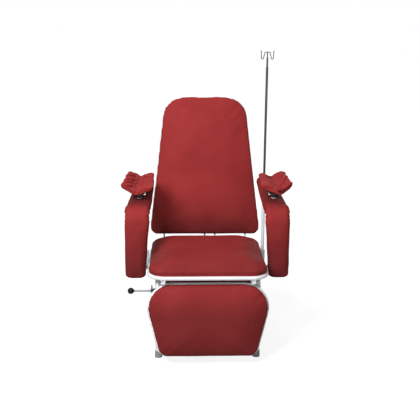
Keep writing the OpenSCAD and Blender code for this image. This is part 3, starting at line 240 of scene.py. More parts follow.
# painted shade: the arm cover is darker toward its foot and over its top beneath the trough, with stronger
# shade in its recesses
armVinyl = vinylFinish("armVinyl", recessShade=1.12, recessRange=(0.35, 0.96),
                       shadeFades=(("Z", 0.380, 0.655, 0.66), ("Y", -0.080, -0.128, 0.50)))
whitePaint = paintFinish("whitePaint", paintLook)
zincPlate = metalFinish("zincPlate", linear(176, 178, 182), linear(140, 142, 147), (0.30, 0.46), (1, 1, 6))
leverSteel = metalFinish("leverSteel", linear(136, 138, 142), linear(98, 100, 105), (0.30, 0.44),
                         (0.3, 8, 8))
poleSteel = metalFinish("poleSteel", linear(88, 88, 90), linear(46, 47, 49), (0.26, 0.40), (9, 9, 0.2))
brightChrome = metalFinish("brightChrome", linear(214, 215, 220), linear(186, 188, 194), (0.08, 0.16),
                           (1, 1, 1), 0.00002)
blackPlastic = mouldedFinish("blackPlastic", linear(16, 16, 17), linear(9, 9, 10), (0.22, 0.32),
                             380, 0.00005, 0.16)
blackSteel = mouldedFinish("blackSteel", linear(48, 48, 51), linear(28, 28, 30), (0.34, 0.5), 520, 0.00012)
greyRubber = mouldedFinish("greyRubber", linear(158, 160, 164), linear(128, 130, 135), (0.66, 0.82),
                           300, 0.0002)

slotFinish = {"frame_white": whitePaint, "vinyl_red": redVinyl, "zinc": zincPlate, "chrome": brightChrome,
              "black_plastic": blackPlastic, "black_metal": blackSteel, "grey_rubber": greyRubber,
              "board": redVinyl}
nodeFinish = {"pole": poleSteel, "pole_hooks": poleSteel, "release_lever": leverSteel}
for part in frame["record"]["subparts"]:
    cadPiece = frame["nodes"][part["node"]]
    finish = nodeFinish.get(part["node"], slotFinish[part["material_slot"]])
    cadPiece.data.materials.clear()
    cadPiece.data.materials.append(finish)
print("materials made")


# Mesh helpers
def makePiece(name, points, faces, finish, smooth=True):
    mesh = bpy.data.meshes.new(name)
    mesh.from_pydata([tuple(p) for p in points], [], faces)
    mesh.update()
    piece = bpy.data.objects.new(name, mesh)
    bpy.context.scene.collection.objects.link(piece)
    piece.data.materials.append(finish)
    mesh.polygons.foreach_set("use_smooth", [smooth] * len(mesh.polygons))
    return piece


def ringShape(rings):
    # points and faces of a loft: rings of equal length, closed at both ends with a fan
    count, around = len(rings), len(rings[0])
    points = [p for ring in rings for p in ring]
    faces = []
    for j in range(count - 1):
        low, high = j * around, (j + 1) * around
        faces += [(low + i, low + (i + 1) % around, high + (i + 1) % around, high + i)
                  for i in range(around)]
    for ring, flip in ((0, True), (count - 1, False)):
        middle = np.mean(np.array(rings[ring], float), axis=0)
        points.append(tuple(middle))
        hub = len(points) - 1
        for i in range(around):
            a, b = ring * around + i, ring * around + (i + 1) % around
            faces.append((b, a, hub) if flip else (a, b, hub))
    return points, faces


def loftRings(name, rings, finish):
    return makePiece(name, *ringShape(rings), finish)


def turnedShape(profile, around=20):
    # profile gives radius and height, from the foot up
    turns = [2 * math.pi * k / around for k in range(around)]
    return ringShape([[(r * math.cos(turn), r * math.sin(turn), h) for turn in turns] for r, h in profile])


def tubeShape(path, radius, around=12, closed=False):
    # points and faces of a tube along a path, with closed ends; radius is one value or a list
    points, faces, count = [], [], len(path)
    spots = [Vector(p) for p in path]
    side = None
    for i, spot in enumerate(spots):
        before = spots[i - 1] if i or closed else spot
        after = spots[(i + 1) % count] if i < count - 1 or closed else spot
        way = (after - before).normalized()
        if side is None:
            side = way.orthogonal().normalized()
        side = (side - way * side.dot(way)).normalized()
        lift = way.cross(side)
        reach = radius[i] if isinstance(radius, (list, tuple)) else radius
        for k in range(around):
            angle = 2 * math.pi * k / around
            points.append(spot + (side * math.cos(angle) + lift * math.sin(angle)) * reach)
    last = count if closed else count - 1
    for j in range(last):
        for i in range(around):
            a, b = j * around, ((j + 1) % count) * around
            faces.append((a + i, a + (i + 1) % around, b + (i + 1) % around, b + i))
    if not closed:
        faces.append(tuple(range(around - 1, -1, -1)))
        faces.append(tuple(range((count - 1) * around, count * around)))
    return points, faces


def joinShapes(name, shapes, finish):
    # one piece from many small shapes, each with its own place
    points, faces = [], []
    for (shapePoints, shapeFaces), matrix in shapes:
        first = len(points)
        points += [tuple(matrix @ Vector(p)) for p in shapePoints]
        faces += [tuple(i + first for i in face) for face in shapeFaces]
    return makePiece(name, points, faces, finish)


def placePiece(piece, matrix):
    piece.data.transform(matrix)
    if matrix.determinant() < 0:
        piece.data.flip_normals()
    piece.data.update()


def coordsOf(mesh):
    co = np.empty(len(mesh.vertices) * 3)
    mesh.vertices.foreach_get("co", co)
    return co.reshape(-1, 3)


def setCoords(mesh, co):
    mesh.vertices.foreach_set("co", np.ascontiguousarray(co, dtype=np.float32).ravel())
    mesh.update()


def normalsOf(mesh):
    normals = np.empty(len(mesh.vertices) * 3)
    mesh.vertices.foreach_get("normal", normals)
    return normals.reshape(-1, 3)


def bakeModifiers(piece):
    graph = bpy.context.evaluated_depsgraph_get()
    baked = bpy.data.meshes.new_from_object(piece.evaluated_get(graph))
    piece.modifiers.clear()
    piece.data = baked
    baked.polygons.foreach_set("use_smooth", [True] * len(baked.polygons))


def relaxPiece(piece, steps):
    relax = piece.modifiers.new("relax", "SMOOTH")
    relax.factor, relax.iterations = 0.5, steps


def remeshPiece(piece, voxel, steps=2):
    # an even mesh of small squares, its stair steps smoothed away
    grid = piece.modifiers.new("grid", "REMESH")
    grid.mode, grid.voxel_size = "VOXEL", voxel
    relaxPiece(piece, steps)
    bakeModifiers(piece)


def subdivide(piece):
    finer = piece.modifiers.new("finer", "SUBSURF")
    finer.levels = finer.render_levels = 1
    bakeModifiers(piece)


coverRules = {"quality": 4, "mass": 0.35, "stretch": 18, "shear": 6, "frames": 20}


def inflate(piece, held, shape):
    # blows the cover up like foam under vinyl; held is an array of pin weights for the points
    start = coordsOf(piece.data)
    pins = piece.vertex_groups.new(name="held")
    for i in np.nonzero(held > 0)[0]:
        pins.add([int(i)], float(held[i]), "REPLACE")
    cloth = piece.modifiers.new("cover", "CLOTH")
    rules = cloth.settings
    rules.quality, rules.mass = coverRules["quality"], coverRules["mass"]
    rules.tension_stiffness = rules.compression_stiffness = coverRules["stretch"]
    rules.shear_stiffness = coverRules["shear"]
    rules.bending_stiffness = shape["bending"]
    rules.use_pressure = True
    rules.uniform_pressure_force = shape["pressure"]
    rules.shrink_min = -shape.get("grow", 0)
    rules.effector_weights.gravity = 0
    rules.vertex_group_mass = "held"
    cloth.collision_settings.use_collision = False
    cloth.point_cache.frame_start, cloth.point_cache.frame_end = 1, coverRules["frames"]
    for step in range(1, coverRules["frames"] + 1):
        bpy.context.scene.frame_set(step)
    graph = bpy.context.evaluated_depsgraph_get()
    puffed = coordsOf(piece.evaluated_get(graph).to_mesh())
    piece.evaluated_get(graph).to_mesh_clear()
    piece.modifiers.clear()
    piece.vertex_groups.clear()
    bpy.context.scene.frame_set(1)
    move = puffed - start
    size = np.linalg.norm(move, axis=1)
    move *= np.minimum(1, shape["cap"] / np.maximum(size, 1e-9))[:, None]
    setCoords(piece.data, start + move)
    if "calm" in shape:
        relaxPiece(piece, shape["calm"])
        bakeModifiers(piece)
    print("   ", piece.name, "moved up to", round(float(size.max()) * 1000, 1), "mm")


def ripple(co, waves, seed):
    # slow unevenness of stretched vinyl; each wave has a scale, a depth and a shift
    push = np.zeros(len(co))
    for scale, depth, shift in waves:
        offset = Vector((seed + shift, (seed + shift) * 0.7, -(seed + shift)))
        push += np.array([noise.noise(Vector(p) * scale + offset) for p in co]) * depth
    return push


# Rounded outlines
def cornerArcs(points, radii):
    # centre, radius, start angle and turn of the arc at each corner
    arcs, count = [], len(points)
    for i in range(count):
        a, c, b = (np.array(points[k % count], float) for k in (i - 1, i, i + 1))
        u, v = (c - a) / np.linalg.norm(c - a), (b - c) / np.linalg.norm(b - c)
        turn = math.atan2(u[0] * v[1] - u[1] * v[0], float(u @ v))
        reach = radii[i] * math.tan(abs(turn) / 2)
        side = math.copysign(1, turn) * np.array([-u[1], u[0]])
        arcs.append((c - u * reach + radii[i] * side, radii[i], math.atan2(-side[1], -side[0]), turn))
    return arcs


def softOutline(shape, grow, draw, cornerSteps=18, sideSteps=24):
    # the rounded outline, grown outward, each straight side drawn in at its middle
    arcs, outline = cornerArcs(shape["corners"], shape["radii"]), []

    def onArc(arc, share):
        centre, radius, start, turn = arc
        angle = start + turn * share
        return centre + (radius + grow) * np.array([math.cos(angle), math.sin(angle)])

    for i, arc in enumerate(arcs):
        outline += [onArc(arc, k / cornerSteps) for k in range(cornerSteps + 1)]
        p, q = onArc(arc, 1), onArc(arcs[(i + 1) % len(arcs)], 0)
        v = (q - p) / np.linalg.norm(q - p)
        inward = np.array([-v[1], v[0]])
        for s in (k / sideSteps for k in range(1, sideSteps)):
            outline.append(p + (q - p) * s + inward * draw * 4 * s * (1 - s))
    return outline


def edgeDistance(co, outline):
    # distance of each point from an outline, across the panel
    best = np.full(len(co), 1.0)
    for p, q in zip(outline, np.roll(outline, -1, axis=0)):
        edge, offset = q - p, co[:, :2] - p
        share = np.clip(offset @ edge / max(float(edge @ edge), 1e-12), 0, 1)
        best = np.minimum(best, np.linalg.norm(offset - share[:, None] * edge, axis=1))
    return best


# Seat, back and leg cushions. The look is shared: the side's rings (share of its height, pull inward) and
# the dome's, how the cover is held and blown up, how far it wraps the board, and its pleats at the corners.
cushionLook = {
    "power": 2.2, "root": 0.72, "rearPower": 6, "rearRoot": 0.2,
    "draw": 0.0012, "inset": 0.002, "swell": 0.006,
    "sideRings": ((0.0, 0.006), (0.16, 0.002), (0.40, 0.0), (0.75, 0.0)),
    "domeShares": (1, 0.988, 0.968, 0.94, 0.90, 0.85, 0.78, 0.68, 0.54, 0.38, 0.18),
    "heldTop": 0.012, "heldFade": 0.006, "pressure": 4, "cap": 0.008, "bending": 2.0, "calm": 20,
    "wrap": 0.007, "waves": ((9, 0.0016, 0), (30, 0.00035, 3)),
    "pleats": 7, "pleatDepth": 0.0011, "pleatTop": 0.030, "pleatReach": 0.80,
}


def cushionBlank(name, shape):
    # a low side and a pillow-like rise to the middle, before the cover is blown up
    inset, draw, side, rings = shape["inset"], shape["draw"], shape["side"], []
    rise = shape["thick"] - shape["swell"] - side
    for share, pull in shape["sideRings"]:
        rings.append([(p[0], p[1], side * share) for p in softOutline(shape, -pull - inset, draw)])
    outer = np.array([(p[0], p[1], 0) for p in softOutline(shape, -inset, draw)])
    middle = (outer.min(axis=0) + outer.max(axis=0)) / 2
    toRear = outer[:, 1].max() - middle[1]
    for share in shape["domeShares"]:
        ring = middle + (outer - middle) * share
        # a full rear keeps the crown's height nearly to the cushion's rear edge
        behind = np.clip((ring[:, 1] - middle[1]) / toRear, 0, 1) * shape.get("fullRear", 0)
        power, root = shape["power"] + shape["rearPower"] * behind, shape["root"] - shape["rearRoot"] * behind
        lift = shape.get("rearLift", 0) * behind * (1 - share ** 8)
        ring[:, 2] = side + rise * (1 - share ** power) ** root + lift
        rings.append([tuple(p) for p in ring])
    return loftRings(name, rings, shape["finish"])


def fitOutline(co, shape):
    # the blown-up cover keeps its thickness and the outline of its board
    co[:, 2] *= (shape["thick"] + shape.get("rearLift", 0) / 2) / co[:, 2].max()
    if "crest" in shape:
        # keeps the far edge straight between its two corners
        height, reach, start, fade = shape["crest"]
        middle = np.clip(1 - (co[:, 0] / reach) ** 2, 0, 1)
        co[:, 1] += height * middle * np.clip((co[:, 1] - start) / fade, 0, 1)
    outline = np.array(softOutline(shape, shape["cover"], 0))
    for axis in (0, 1):
        low, high = outline[:, axis].min(), outline[:, axis].max()
        mine = co[:, axis]
        co[:, axis] = (mine - mine.min()) / (mine.max() - mine.min()) * (high - low) + low


def cornerPleats(co, shape):
    # gathers where the cover is pulled under the board at each corner
    lowEdge, push = np.clip(1 - co[:, 2] / shape["pleatTop"], 0, 1), np.zeros(len(co))
    for centre, radius, start, turn in cornerArcs(shape["corners"], shape["radii"]):
        offset = co[:, :2] - centre
        reach = np.linalg.norm(offset, axis=1)
        share = np.mod(np.arctan2(offset[:, 1], offset[:, 0]) - start, 2 * math.pi) / abs(turn)
        inside = (share >= 0) & (share <= 1) & (reach > radius * shape["pleatReach"])
        pleats = np.cos(share * 2 * math.pi * shape["pleats"]) * np.sin(np.clip(share, 0, 1) * math.pi)
        push += np.where(inside, pleats * lowEdge ** 1.5 * shape["pleatDepth"], 0)
    return push


def softCushion(name, shape, plane, body, node, seed):
    piece = cushionBlank(name, shape)
    remeshPiece(piece, shape["voxel"])
    co = coordsOf(piece.data)
    inflate(piece, np.clip((shape["heldTop"] - co[:, 2]) / shape["heldFade"], 0, 1), shape)
    co = coordsOf(piece.data)
    fitOutline(co, shape)
    setCoords(piece.data, co)
    subdivide(piece)
    co, normals = coordsOf(piece.data), normalsOf(piece.data)
    # the cover runs down over the board's edge
    rim = edgeDistance(co, np.array(softOutline(shape, shape["cover"], shape["draw"])))
    wrap = np.clip(1 - rim / shape["wrap"], 0, 1) ** 0.5 * np.clip(1 - co[:, 2] / shape["side"], 0, 1)
    push = ripple(co, shape["waves"], seed) + cornerPleats(co, shape)
    co = co + normals * push[:, None]
    co[:, 2] -= wrap * (chair["boardThick"] - chair["softGap"])
    setCoords(piece.data, co)
    placePiece(piece, plane @ Matrix.Translation((0, 0, chair["boardThick"] + chair["softGap"])))
    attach(piece, body)
    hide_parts(node)


seatShape = {
    "corners": [(-0.28, 0), (0.28, 0), (0.27, 0.472), (-0.27, 0.472)], "radii": [0.08, 0.08, 0.07, 0.07],
    "thick": 0.056, "side": 0.0168, "cover": -0.001, "voxel": 0.006, "fullRear": 1, "rearLift": 0.009,
    "finish": seatVinyl, **cushionLook,
}
backShape = {
    "corners": [(-0.278, 0), (0.278, 0), (0.199, 0.692), (-0.199, 0.692)],
    "radii": [0.042, 0.042, 0.105, 0.105],
    "thick": 0.048, "side": 0.0144, "cover": 0.0042, "voxel": 0.0065, "crest": (0.0055, 0.125, 0.58, 0.08),
    "finish": backVinyl, **cushionLook,
}
# half is how far the round top corners reach from the middle; the outline's own corners lie past them
legSize = {"half": 0.279, "high": 0.34, "topRadius": 0.115, "footRadius": 0.05, "taper": math.radians(14.5)}
legTopHalf = (legSize["half"] + legSize["topRadius"]
              * (1 / math.tan(math.radians(45) - legSize["taper"] / 2) - 1))
legFootHalf = legTopHalf - legSize["high"] * math.tan(legSize["taper"])
legShape = {
    "corners": [(-legFootHalf, 0), (legFootHalf, 0),
                (legTopHalf, legSize["high"]), (-legTopHalf, legSize["high"])],
    "radii": [legSize["footRadius"], legSize["footRadius"], legSize["topRadius"], legSize["topRadius"]],
    "thick": 0.048, "side": 0.0144, "cover": -0.001, "voxel": 0.006,
    "finish": legVinyl, **cushionLook,
}
softCushion("seatCushion", seatShape, seatPlane, "base", "seat_cushion", 1.0)
softCushion("backCushion", backShape, backPlane, "backrest", "back_cushion", 2.0)
softCushion("legCushion", legShape, legPlane, "leg_rest", "leg_cushion", 3.0)
print("cushions made")

# Padded strip under the seat's front edge
apronShape = {"half": 0.198, "thick": 0.015, "height": 0.074, "setBack": 0.055, "round": 0.006,
              "puff": 0.0022, "steps": 48, "tuck": 0.16, "tuckReach": 0.010, "dimples": 95}


def buildApron(shape):
    rings = []
    for k in range(shape["steps"] + 1):
        share = k / shape["steps"]
        x = -shape["half"] + 2 * shape["half"] * share
        end = min(share, 1 - share) * 2 * shape["half"]
        tuck = 1 - shape["tuck"] * max(0, 1 - end / shape["tuckReach"]) ** 2
        ring = []
        for cornerY, cornerZ, start in ((1, -1, -90), (1, 1, 0), (-1, 1, 90), (-1, -1, 180)):
            for i in range(7):
                angle = math.radians(start + 90 * i / 6)
                y = cornerY * (shape["thick"] / 2 - shape["round"]) + shape["round"] * math.cos(angle)
                z = cornerZ * (shape["height"] / 2 - shape["round"]) + shape["round"] * math.sin(angle)
                wave = 0.8 + 0.2 * math.cos(x * shape["dimples"])
                puff = shape["puff"] * (1 - (2 * z / shape["height"]) ** 2) * wave
                ring.append((x, y * tuck + (puff if y > 0 else -puff) * tuck, z * tuck))
        rings.append(ring)
    piece = loftRings("apronPad", rings, apronVinyl)
    middle = (0, chair["seatFrontY"] + shape["setBack"] + shape["thick"] / 2,
              chair["seatTopZ"] - shape["height"] / 2)
    piece.data.transform(Matrix.Translation(middle))
    subdivide(piece)
    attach(piece, "base")
    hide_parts("front_apron")


buildApron(apronShape)

# Arm pads: a front face that stands up, a knee, and a top that runs back and inward. Ends are scales and
# pushes of their last slices; pleats at the knee have a height, a depth and a width.
armShape = {
    "outer": 0.391, "planeY": -0.134, "kneeZ": 0.674, "footZ": 0.358, "rise": math.radians(14.5),
    "length": 0.336, "sweep": math.radians(5.5), "wide": 0.118, "lowWide": 0.097, "rearWide": 0.087,
    "thick": 0.050, "bend": 0.060, "corner": 0.019, "crown": 0.005, "voxel": 0.005,
    "slices": (34, 15, 30), "ends": ((0.70, 0.0), (0.84, 0.003), (0.94, 0.009)),
    "pressure": 3, "cap": 0.004, "bending": 0.3, "heldDepth": 0.006, "heldFade": 0.004, "kneeDrop": 0.055,
    "waves": ((14, 0.0014, 0), (45, 0.0004, 0)), "hole": 0.0124, "troughAt": 0.105,
    "pleats": ((0.6655, 0.0052, 0.0052), (0.648, 0.0024, 0.0050), (0.684, 0.0026, 0.0055)),
    "bulge": (0.6745, 0.0030, 0.0060), "pleatEdge": 0.62, "pleatLean": 0.004, "pleatReach": 0.040,
}


def armStations(shape):
    # place on the centre line, direction, share of the way down, share of the way back
    rise, knee = shape["rise"], np.array([shape["planeY"], shape["kneeZ"]])
    ahead = np.array([math.cos(rise), math.sin(rise)])
    turn = math.pi / 2 - rise
    reach = shape["bend"] * math.tan(turn / 2)
    low, high = knee - np.array([0, reach]), knee + ahead * reach
    centre = low + np.array([shape["bend"], 0])
    foot, end = np.array([shape["planeY"], shape["footZ"]]), knee + ahead * shape["length"]
    front, bent, top = (np.linspace(0, 1, count) for count in shape["slices"])
    stations = [(foot + (low - foot) * s, math.pi / 2, 1 - s, 0) for s in front[:-1]]
    for s in bent:
        angle = math.pi - turn * s
        spot = centre + shape["bend"] * np.array([math.cos(angle), math.sin(angle)])
        stations.append((spot, math.pi / 2 - turn * s, 0, 0))
    stations += [(high + (end - high) * s, rise, 0, s) for s in top[1:]]
    return stations, knee


def armRing(shape, station, knee, scale, push):
    centre, heading, down, back = station
    wide = (shape["wide"] + (shape["lowWide"] - shape["wide"]) * down ** 0.7
            + (shape["rearWide"] - shape["wide"]) * back)
    if back > 0:
        swept = math.tan(shape["sweep"]) * np.linalg.norm(centre - knee)
        middle = shape["outer"] - shape["wide"] / 2 - swept
    else:
        middle = shape["outer"] - wide / 2
    w, t, r = wide * scale / 2, shape["thick"] * scale / 2, shape["corner"] * scale
    centre = centre + push * np.array([math.cos(heading), math.sin(heading)])
    ring = []
    for sx, sy, start in ((1, 1, 0), (-1, 1, 90), (-1, -1, 180), (1, -1, 270)):
        for k in range(7):
            angle = math.radians(start + 90 * k / 6)
            x, y = sx * (w - r) + r * math.cos(angle), sy * (t - r) + r * math.sin(angle)
            y -= shape["crown"] * (x / w) ** 2 if y > 0 else 0
            ring.append((middle + x, centre[0] - y * math.sin(heading), centre[1] + y * math.cos(heading)))
    return ring


def armHeld(co, shape):
    # the underside lies on the steel strip, so it is held there
    rise, fade = shape["rise"], shape["heldFade"]
    beneath = np.maximum((shape["planeY"] + shape["thick"] / 2 - shape["heldDepth"]) - co[:, 1], 0)
    underside = (shape["kneeZ"] + (co[:, 1] - shape["planeY"]) * math.tan(rise)
                 - shape["thick"] / 2 / math.cos(rise))
    return np.where(co[:, 2] < shape["kneeZ"] - shape["kneeDrop"], np.clip(1 - beneath / fade, 0, 1),
                    np.clip(1 - (co[:, 2] - underside - fade) / fade, 0, 1))


def kneePleats(co, shape):
    # pleats that gather on both edges of the knee, where the cover turns
    across = (co[:, 0] - (shape["outer"] - shape["wide"] / 2)) / (shape["wide"] / 2)
    edge = np.clip((np.abs(across) - shape["pleatEdge"]) / (1 - shape["pleatEdge"]), 0, 1)
    front, push = co[:, 1] < shape["planeY"] + shape["pleatReach"], np.zeros(len(co))
    for height, depth, width in shape["pleats"]:
        line = height + shape["pleatLean"] * across
        push -= np.where(front, np.exp(-((co[:, 2] - line) / width) ** 2) * edge * depth, 0)
    height, depth, width = shape["bulge"]
    push += np.where(front, np.exp(-((co[:, 2] - height) / width) ** 2) * edge * depth, 0)
    return push


def troughFoot():
    # where the swivel tube comes out of the right arm's pad
    shape = armShape
    middle = shape["outer"] - shape["wide"] / 2 - math.tan(shape["sweep"]) * shape["troughAt"]
    return Vector((middle, shape["planeY"] + shape["troughAt"],
                   shape["kneeZ"] + math.tan(shape["rise"]) * shape["troughAt"]))


def buildArmPad(side, shape, seed):
    stations, knee = armStations(shape)
    rings = [armRing(shape, stations[0], knee, scale, push) for scale, push in shape["ends"]]
    rings += [armRing(shape, s, knee, 1, 0) for s in stations[1:-1]]
    rings += [armRing(shape, stations[-1], knee, scale, -push) for scale, push in reversed(shape["ends"])]
    piece = loftRings("armPad" + side, rings, armVinyl)
    remeshPiece(piece, shape["voxel"])
    inflate(piece, armHeld(coordsOf(piece.data), shape), shape)
    subdivide(piece)
    co, normals = coordsOf(piece.data), normalsOf(piece.data)
    push = ripple(co, shape["waves"], seed) + kneePleats(co, shape)
    setCoords(piece.data, co + normals * push[:, None])
    # opening for the swivel tube
    drill = makePiece("drill", *tubeShape([(0, 0, -0.06), (0, 0, 0.06)], shape["hole"], 40), armVinyl)
    drill.data.transform(Matrix.Translation(troughFoot()) @ Matrix.Rotation(shape["rise"], 4, "X"))
    cut = piece.modifiers.new("cut", "BOOLEAN")
    cut.operation, cut.object, cut.solver = "DIFFERENCE", drill, "EXACT"
    bakeModifiers(piece)
    bpy.data.objects.remove(drill)
    if side == "Left":
        placePiece(piece, mirrorX)
    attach(piece, "arm_" + side.lower())
    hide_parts("arm_pad_" + side.lower())


for side, seed in (("Left", 4.0), ("Right", 5.5)):
    buildArmPad(side, armShape, seed)
print("arm pads made")

# Arm troughs: the swivel frame stands square to the arm, the bed tips and turns on it
troughShape = {
    "length": 0.190, "wide": 0.158, "rearWide": 0.128, "thick": 0.022, "dip": 0.034, "steep": 1.25,
    "shift": 0.007, "pitch": math.radians(11), "tiltUp": 0.020, "bedUp": 0.017, "plate": 0.003,
    "ahead": 0.065, "rearFlat": 0.12, "edgeRound": 0.45, "edgeLift": 0.2, "underClimb": 0.80,
    "underWide": 0.97,
    "slices": 26, "across": 18, "ends": ((0.72, 0.0), (0.86, 0.002), (0.95, 0.007)),
    "voxel": 0.0032, "smooth": 6, "pressure": 2.0, "cap": 0.0035, "bending": 0.05, "grow": 0.03,
    "heldFade": 0.004, "topFade": 0.008, "waves": ((26, 0.0024, 0), (70, 0.0008, 0)),
}
# valley: where it runs at the front and rear; back and rise: how far the outer and inner front corners
# draw back, and how high the wings climb; sink: depth and width of the crease along the valley
troughForm = {
    "Left": {"valley": (0.002, 0.004), "back": (0.016, 0.012), "rise": (1.0, 0.92),
             "sink": (0.0045, 0.10)},
    "Right": {"valley": (0.016, -0.004), "back": (0.030, 0.040), "rise": (1.0, 0.82),
              "sink": (0.0085, 0.15)},
}
# folds of the loose cover: place along the length, lean, wing (1 outer, -1 inner), depth and width
troughFolds = {
    "Left": ((0.34, -0.50, 1, 0.0058, 0.036), (0.52, -0.58, 1, 0.0070, 0.034),
             (0.70, -0.56, 1, 0.0068, 0.036), (0.90, -0.50, 1, 0.0056, 0.040),
             (0.86, -0.35, -1, 0.0050, 0.036), (0.16, 0.45, -1, 0.0030, 0.040)),
    "Right": ((0.36, 0.62, 1, 0.0058, 0.050), (0.68, 0.40, 1, 0.0042, 0.044),
              (0.06, 0.40, 1, 0.0036, 0.044), (0.80, 0.20, -1, 0.0036, 0.044),
              (0.34, 0.65, -1, 0.0036, 0.046), (0.58, 0.50, -1, 0.0030, 0.044)),
}
bedPlace = (troughShape["shift"], -troughShape["ahead"],
            troughShape["bedUp"] + troughShape["plate"] + chair["softGap"])
bedMatrix = (Matrix.Translation(troughFoot()) @ Matrix.Rotation(armShape["rise"], 4, "X")
             @ Matrix.Translation((0, 0, armShape["thick"] / 2 + troughShape["tiltUp"]))
             @ Matrix.Rotation(troughShape["pitch"] - armShape["rise"], 4, "X")
             @ Matrix.Rotation(armShape["sweep"], 4, "Z") @ Matrix.Translation(bedPlace))


def valleyAt(form, s):
    return form["valley"][0] + (form["valley"][1] - form["valley"][0]) * s


def troughRing(shape, form, s, scale, push):
    # one slice across the trough: two wings that climb from the valley
    half = (shape["wide"] + (shape["rearWide"] - shape["wide"]) * s) / 2
    valley = valleyAt(form, s)
    thick, lift = shape["thick"] * scale, shape["thick"] * (1 - scale) / 2
    steps, ring, wideness = shape["across"], [], (scale, scale * shape["underWide"])
    for k in list(range(-steps, steps + 1)) + list(range(steps, -steps - 1, -1)):
        upper = len(ring) <= 2 * steps
        x = half * k / steps
        wing = (x - valley) / (half - valley) if x > valley else (valley - x) / (half + valley)
        side = 0 if x > valley else 1
        climb = shape["dip"] * wing ** shape["steep"] * form["rise"][side] * (1 - shape["rearFlat"] * s)
        draw = form["back"][side] * wing ** 1.4 * (1 - s) ** 1.5
        if upper:
            z = lift + thick * (1 - abs(k / steps) ** 6 * shape["edgeRound"]) + climb
        else:
            z = lift + climb * shape["underClimb"] + (thick * shape["edgeLift"] if abs(k) == steps else 0)
        ring.append((x * wideness[0 if upper else 1], shape["length"] * s + push + draw, z))
    return ring


def foldPush(co, side, shape, form):
    # loose cover: sharp folds run out from the valley over the wings, different on each side
    s = np.clip(co[:, 1] / shape["length"], 0, 1)
    away = (co[:, 0] - valleyAt(form, s)) / (shape["wide"] / 2)
    under = shape["dip"] * np.abs(away) ** shape["steep"] * shape["underClimb"]
    top = np.clip((co[:, 2] - under - shape["topFade"]) / shape["topFade"], 0, 1)
    depth, width = form["sink"]
    push = -depth * np.exp(-(away / width) ** 2) * top
    for at, lean, wing, depth, width in troughFolds[side]:
        reach = np.clip(away * wing * 1.05, 0, 1)
        line = at + lean * reach * 0.5 + 0.016 * np.sin(away * 9 + at * 20)
        near = (s - line) / width
        # a round back with a sharp crease in front of it, fading out at the valley and at the wing's edge
        fold = np.exp(-near ** 2) * 0.9 - np.exp(-np.abs(near + 0.9) * 1.8) * 1.3
        push += fold * np.sin(np.clip(reach * 1.08, 0, 1) * math.pi * 0.94) ** 0.6 * depth * top
    return push


def buildTrough(side, shape, seed):
    form = troughForm[side]
    rings = [troughRing(shape, form, 0, scale, push) for scale, push in shape["ends"]]
    rings += [troughRing(shape, form, s, 1, 0) for s in np.linspace(0, 1, shape["slices"])[2:-2]]
    rings += [troughRing(shape, form, 1, scale, -push) for scale, push in reversed(shape["ends"])]
    piece = loftRings("troughPad" + side, rings, looseVinyl)
    remeshPiece(piece, shape["voxel"], shape["smooth"])
    co = coordsOf(piece.data)
    wing = np.clip(np.abs(co[:, 0]) / (shape["wide"] / 2), 0, 1)
    under = shape["dip"] * wing ** shape["steep"] * shape["underClimb"]
    inflate(piece, np.clip(1 - (co[:, 2] - under - shape["heldFade"]) / shape["heldFade"], 0, 1), shape)
    subdivide(piece)
    co, normals = coordsOf(piece.data), normalsOf(piece.data)
    push = foldPush(co, side, shape, form) + ripple(co, shape["waves"], seed)
    setCoords(piece.data, co + normals * push[:, None])
    placePiece(piece, mirrorX @ bedMatrix if side == "Left" else bedMatrix)
    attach(piece, "trough_" + side.lower())
    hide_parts("trough_pad_" + side.lower())


for side, seed in (("Left", 7.0), ("Right", 8.5)):
    buildTrough(side, troughShape, seed)
print("troughs made")

# Screws through the straps: the head's profile, and the straps' places as shares of each board
screwLook = {
    "strapBelow": 0.005, "across": (-0.14, 0.0, 0.14),
    "head": [(0.0070, 0), (0.0070, 0.0009), (0.0066, 0.0013), (0.0046, 0.0013), (0.0046, 0.0022),
             (0.0040, 0.0032), (0.0028, 0.0038), (0.0019, 0.0039), (0.0017, 0.0026)],
    "backShares": (0.17, 0.39, 0.61, 0.83), "legShares": (0.3, 0.68), "seatShares": (0.29, 0.54, 0.80),
}


def strapScrews(name, plane, shape, shares, body):
    high = shape["corners"][2][1]
    turnOver = Matrix.Rotation(math.pi, 4, "X")
    spots = [plane @ Matrix.Translation((x, high * share, -screwLook["strapBelow"])) @ turnOver
             for share in screwLook[shares] for x in screwLook["across"]]
    piece = joinShapes(name, [(turnedShape(screwLook["head"]), spot) for spot in spots], zincPlate)
    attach(piece, body)


strapScrews("backScrews", backPlane, backShape, "backShares", "backrest")
strapScrews("legScrews", legPlane, legShape, "legShares", "leg_rest")
strapScrews("seatScrews", seatPlane, seatShape, "seatShares", "base")

# Hems of the covers under the boards, and their staples. The reach runs in from the board's edge.
hemLook = {"reach": (0.019, 0.041), "thick": 0.0012, "wave": 0.0016, "fold": 0.001,
           "stapleGap": 0.034, "stapleHalf": 0.005, "wire": 0.0005, "sunk": 0.0002}


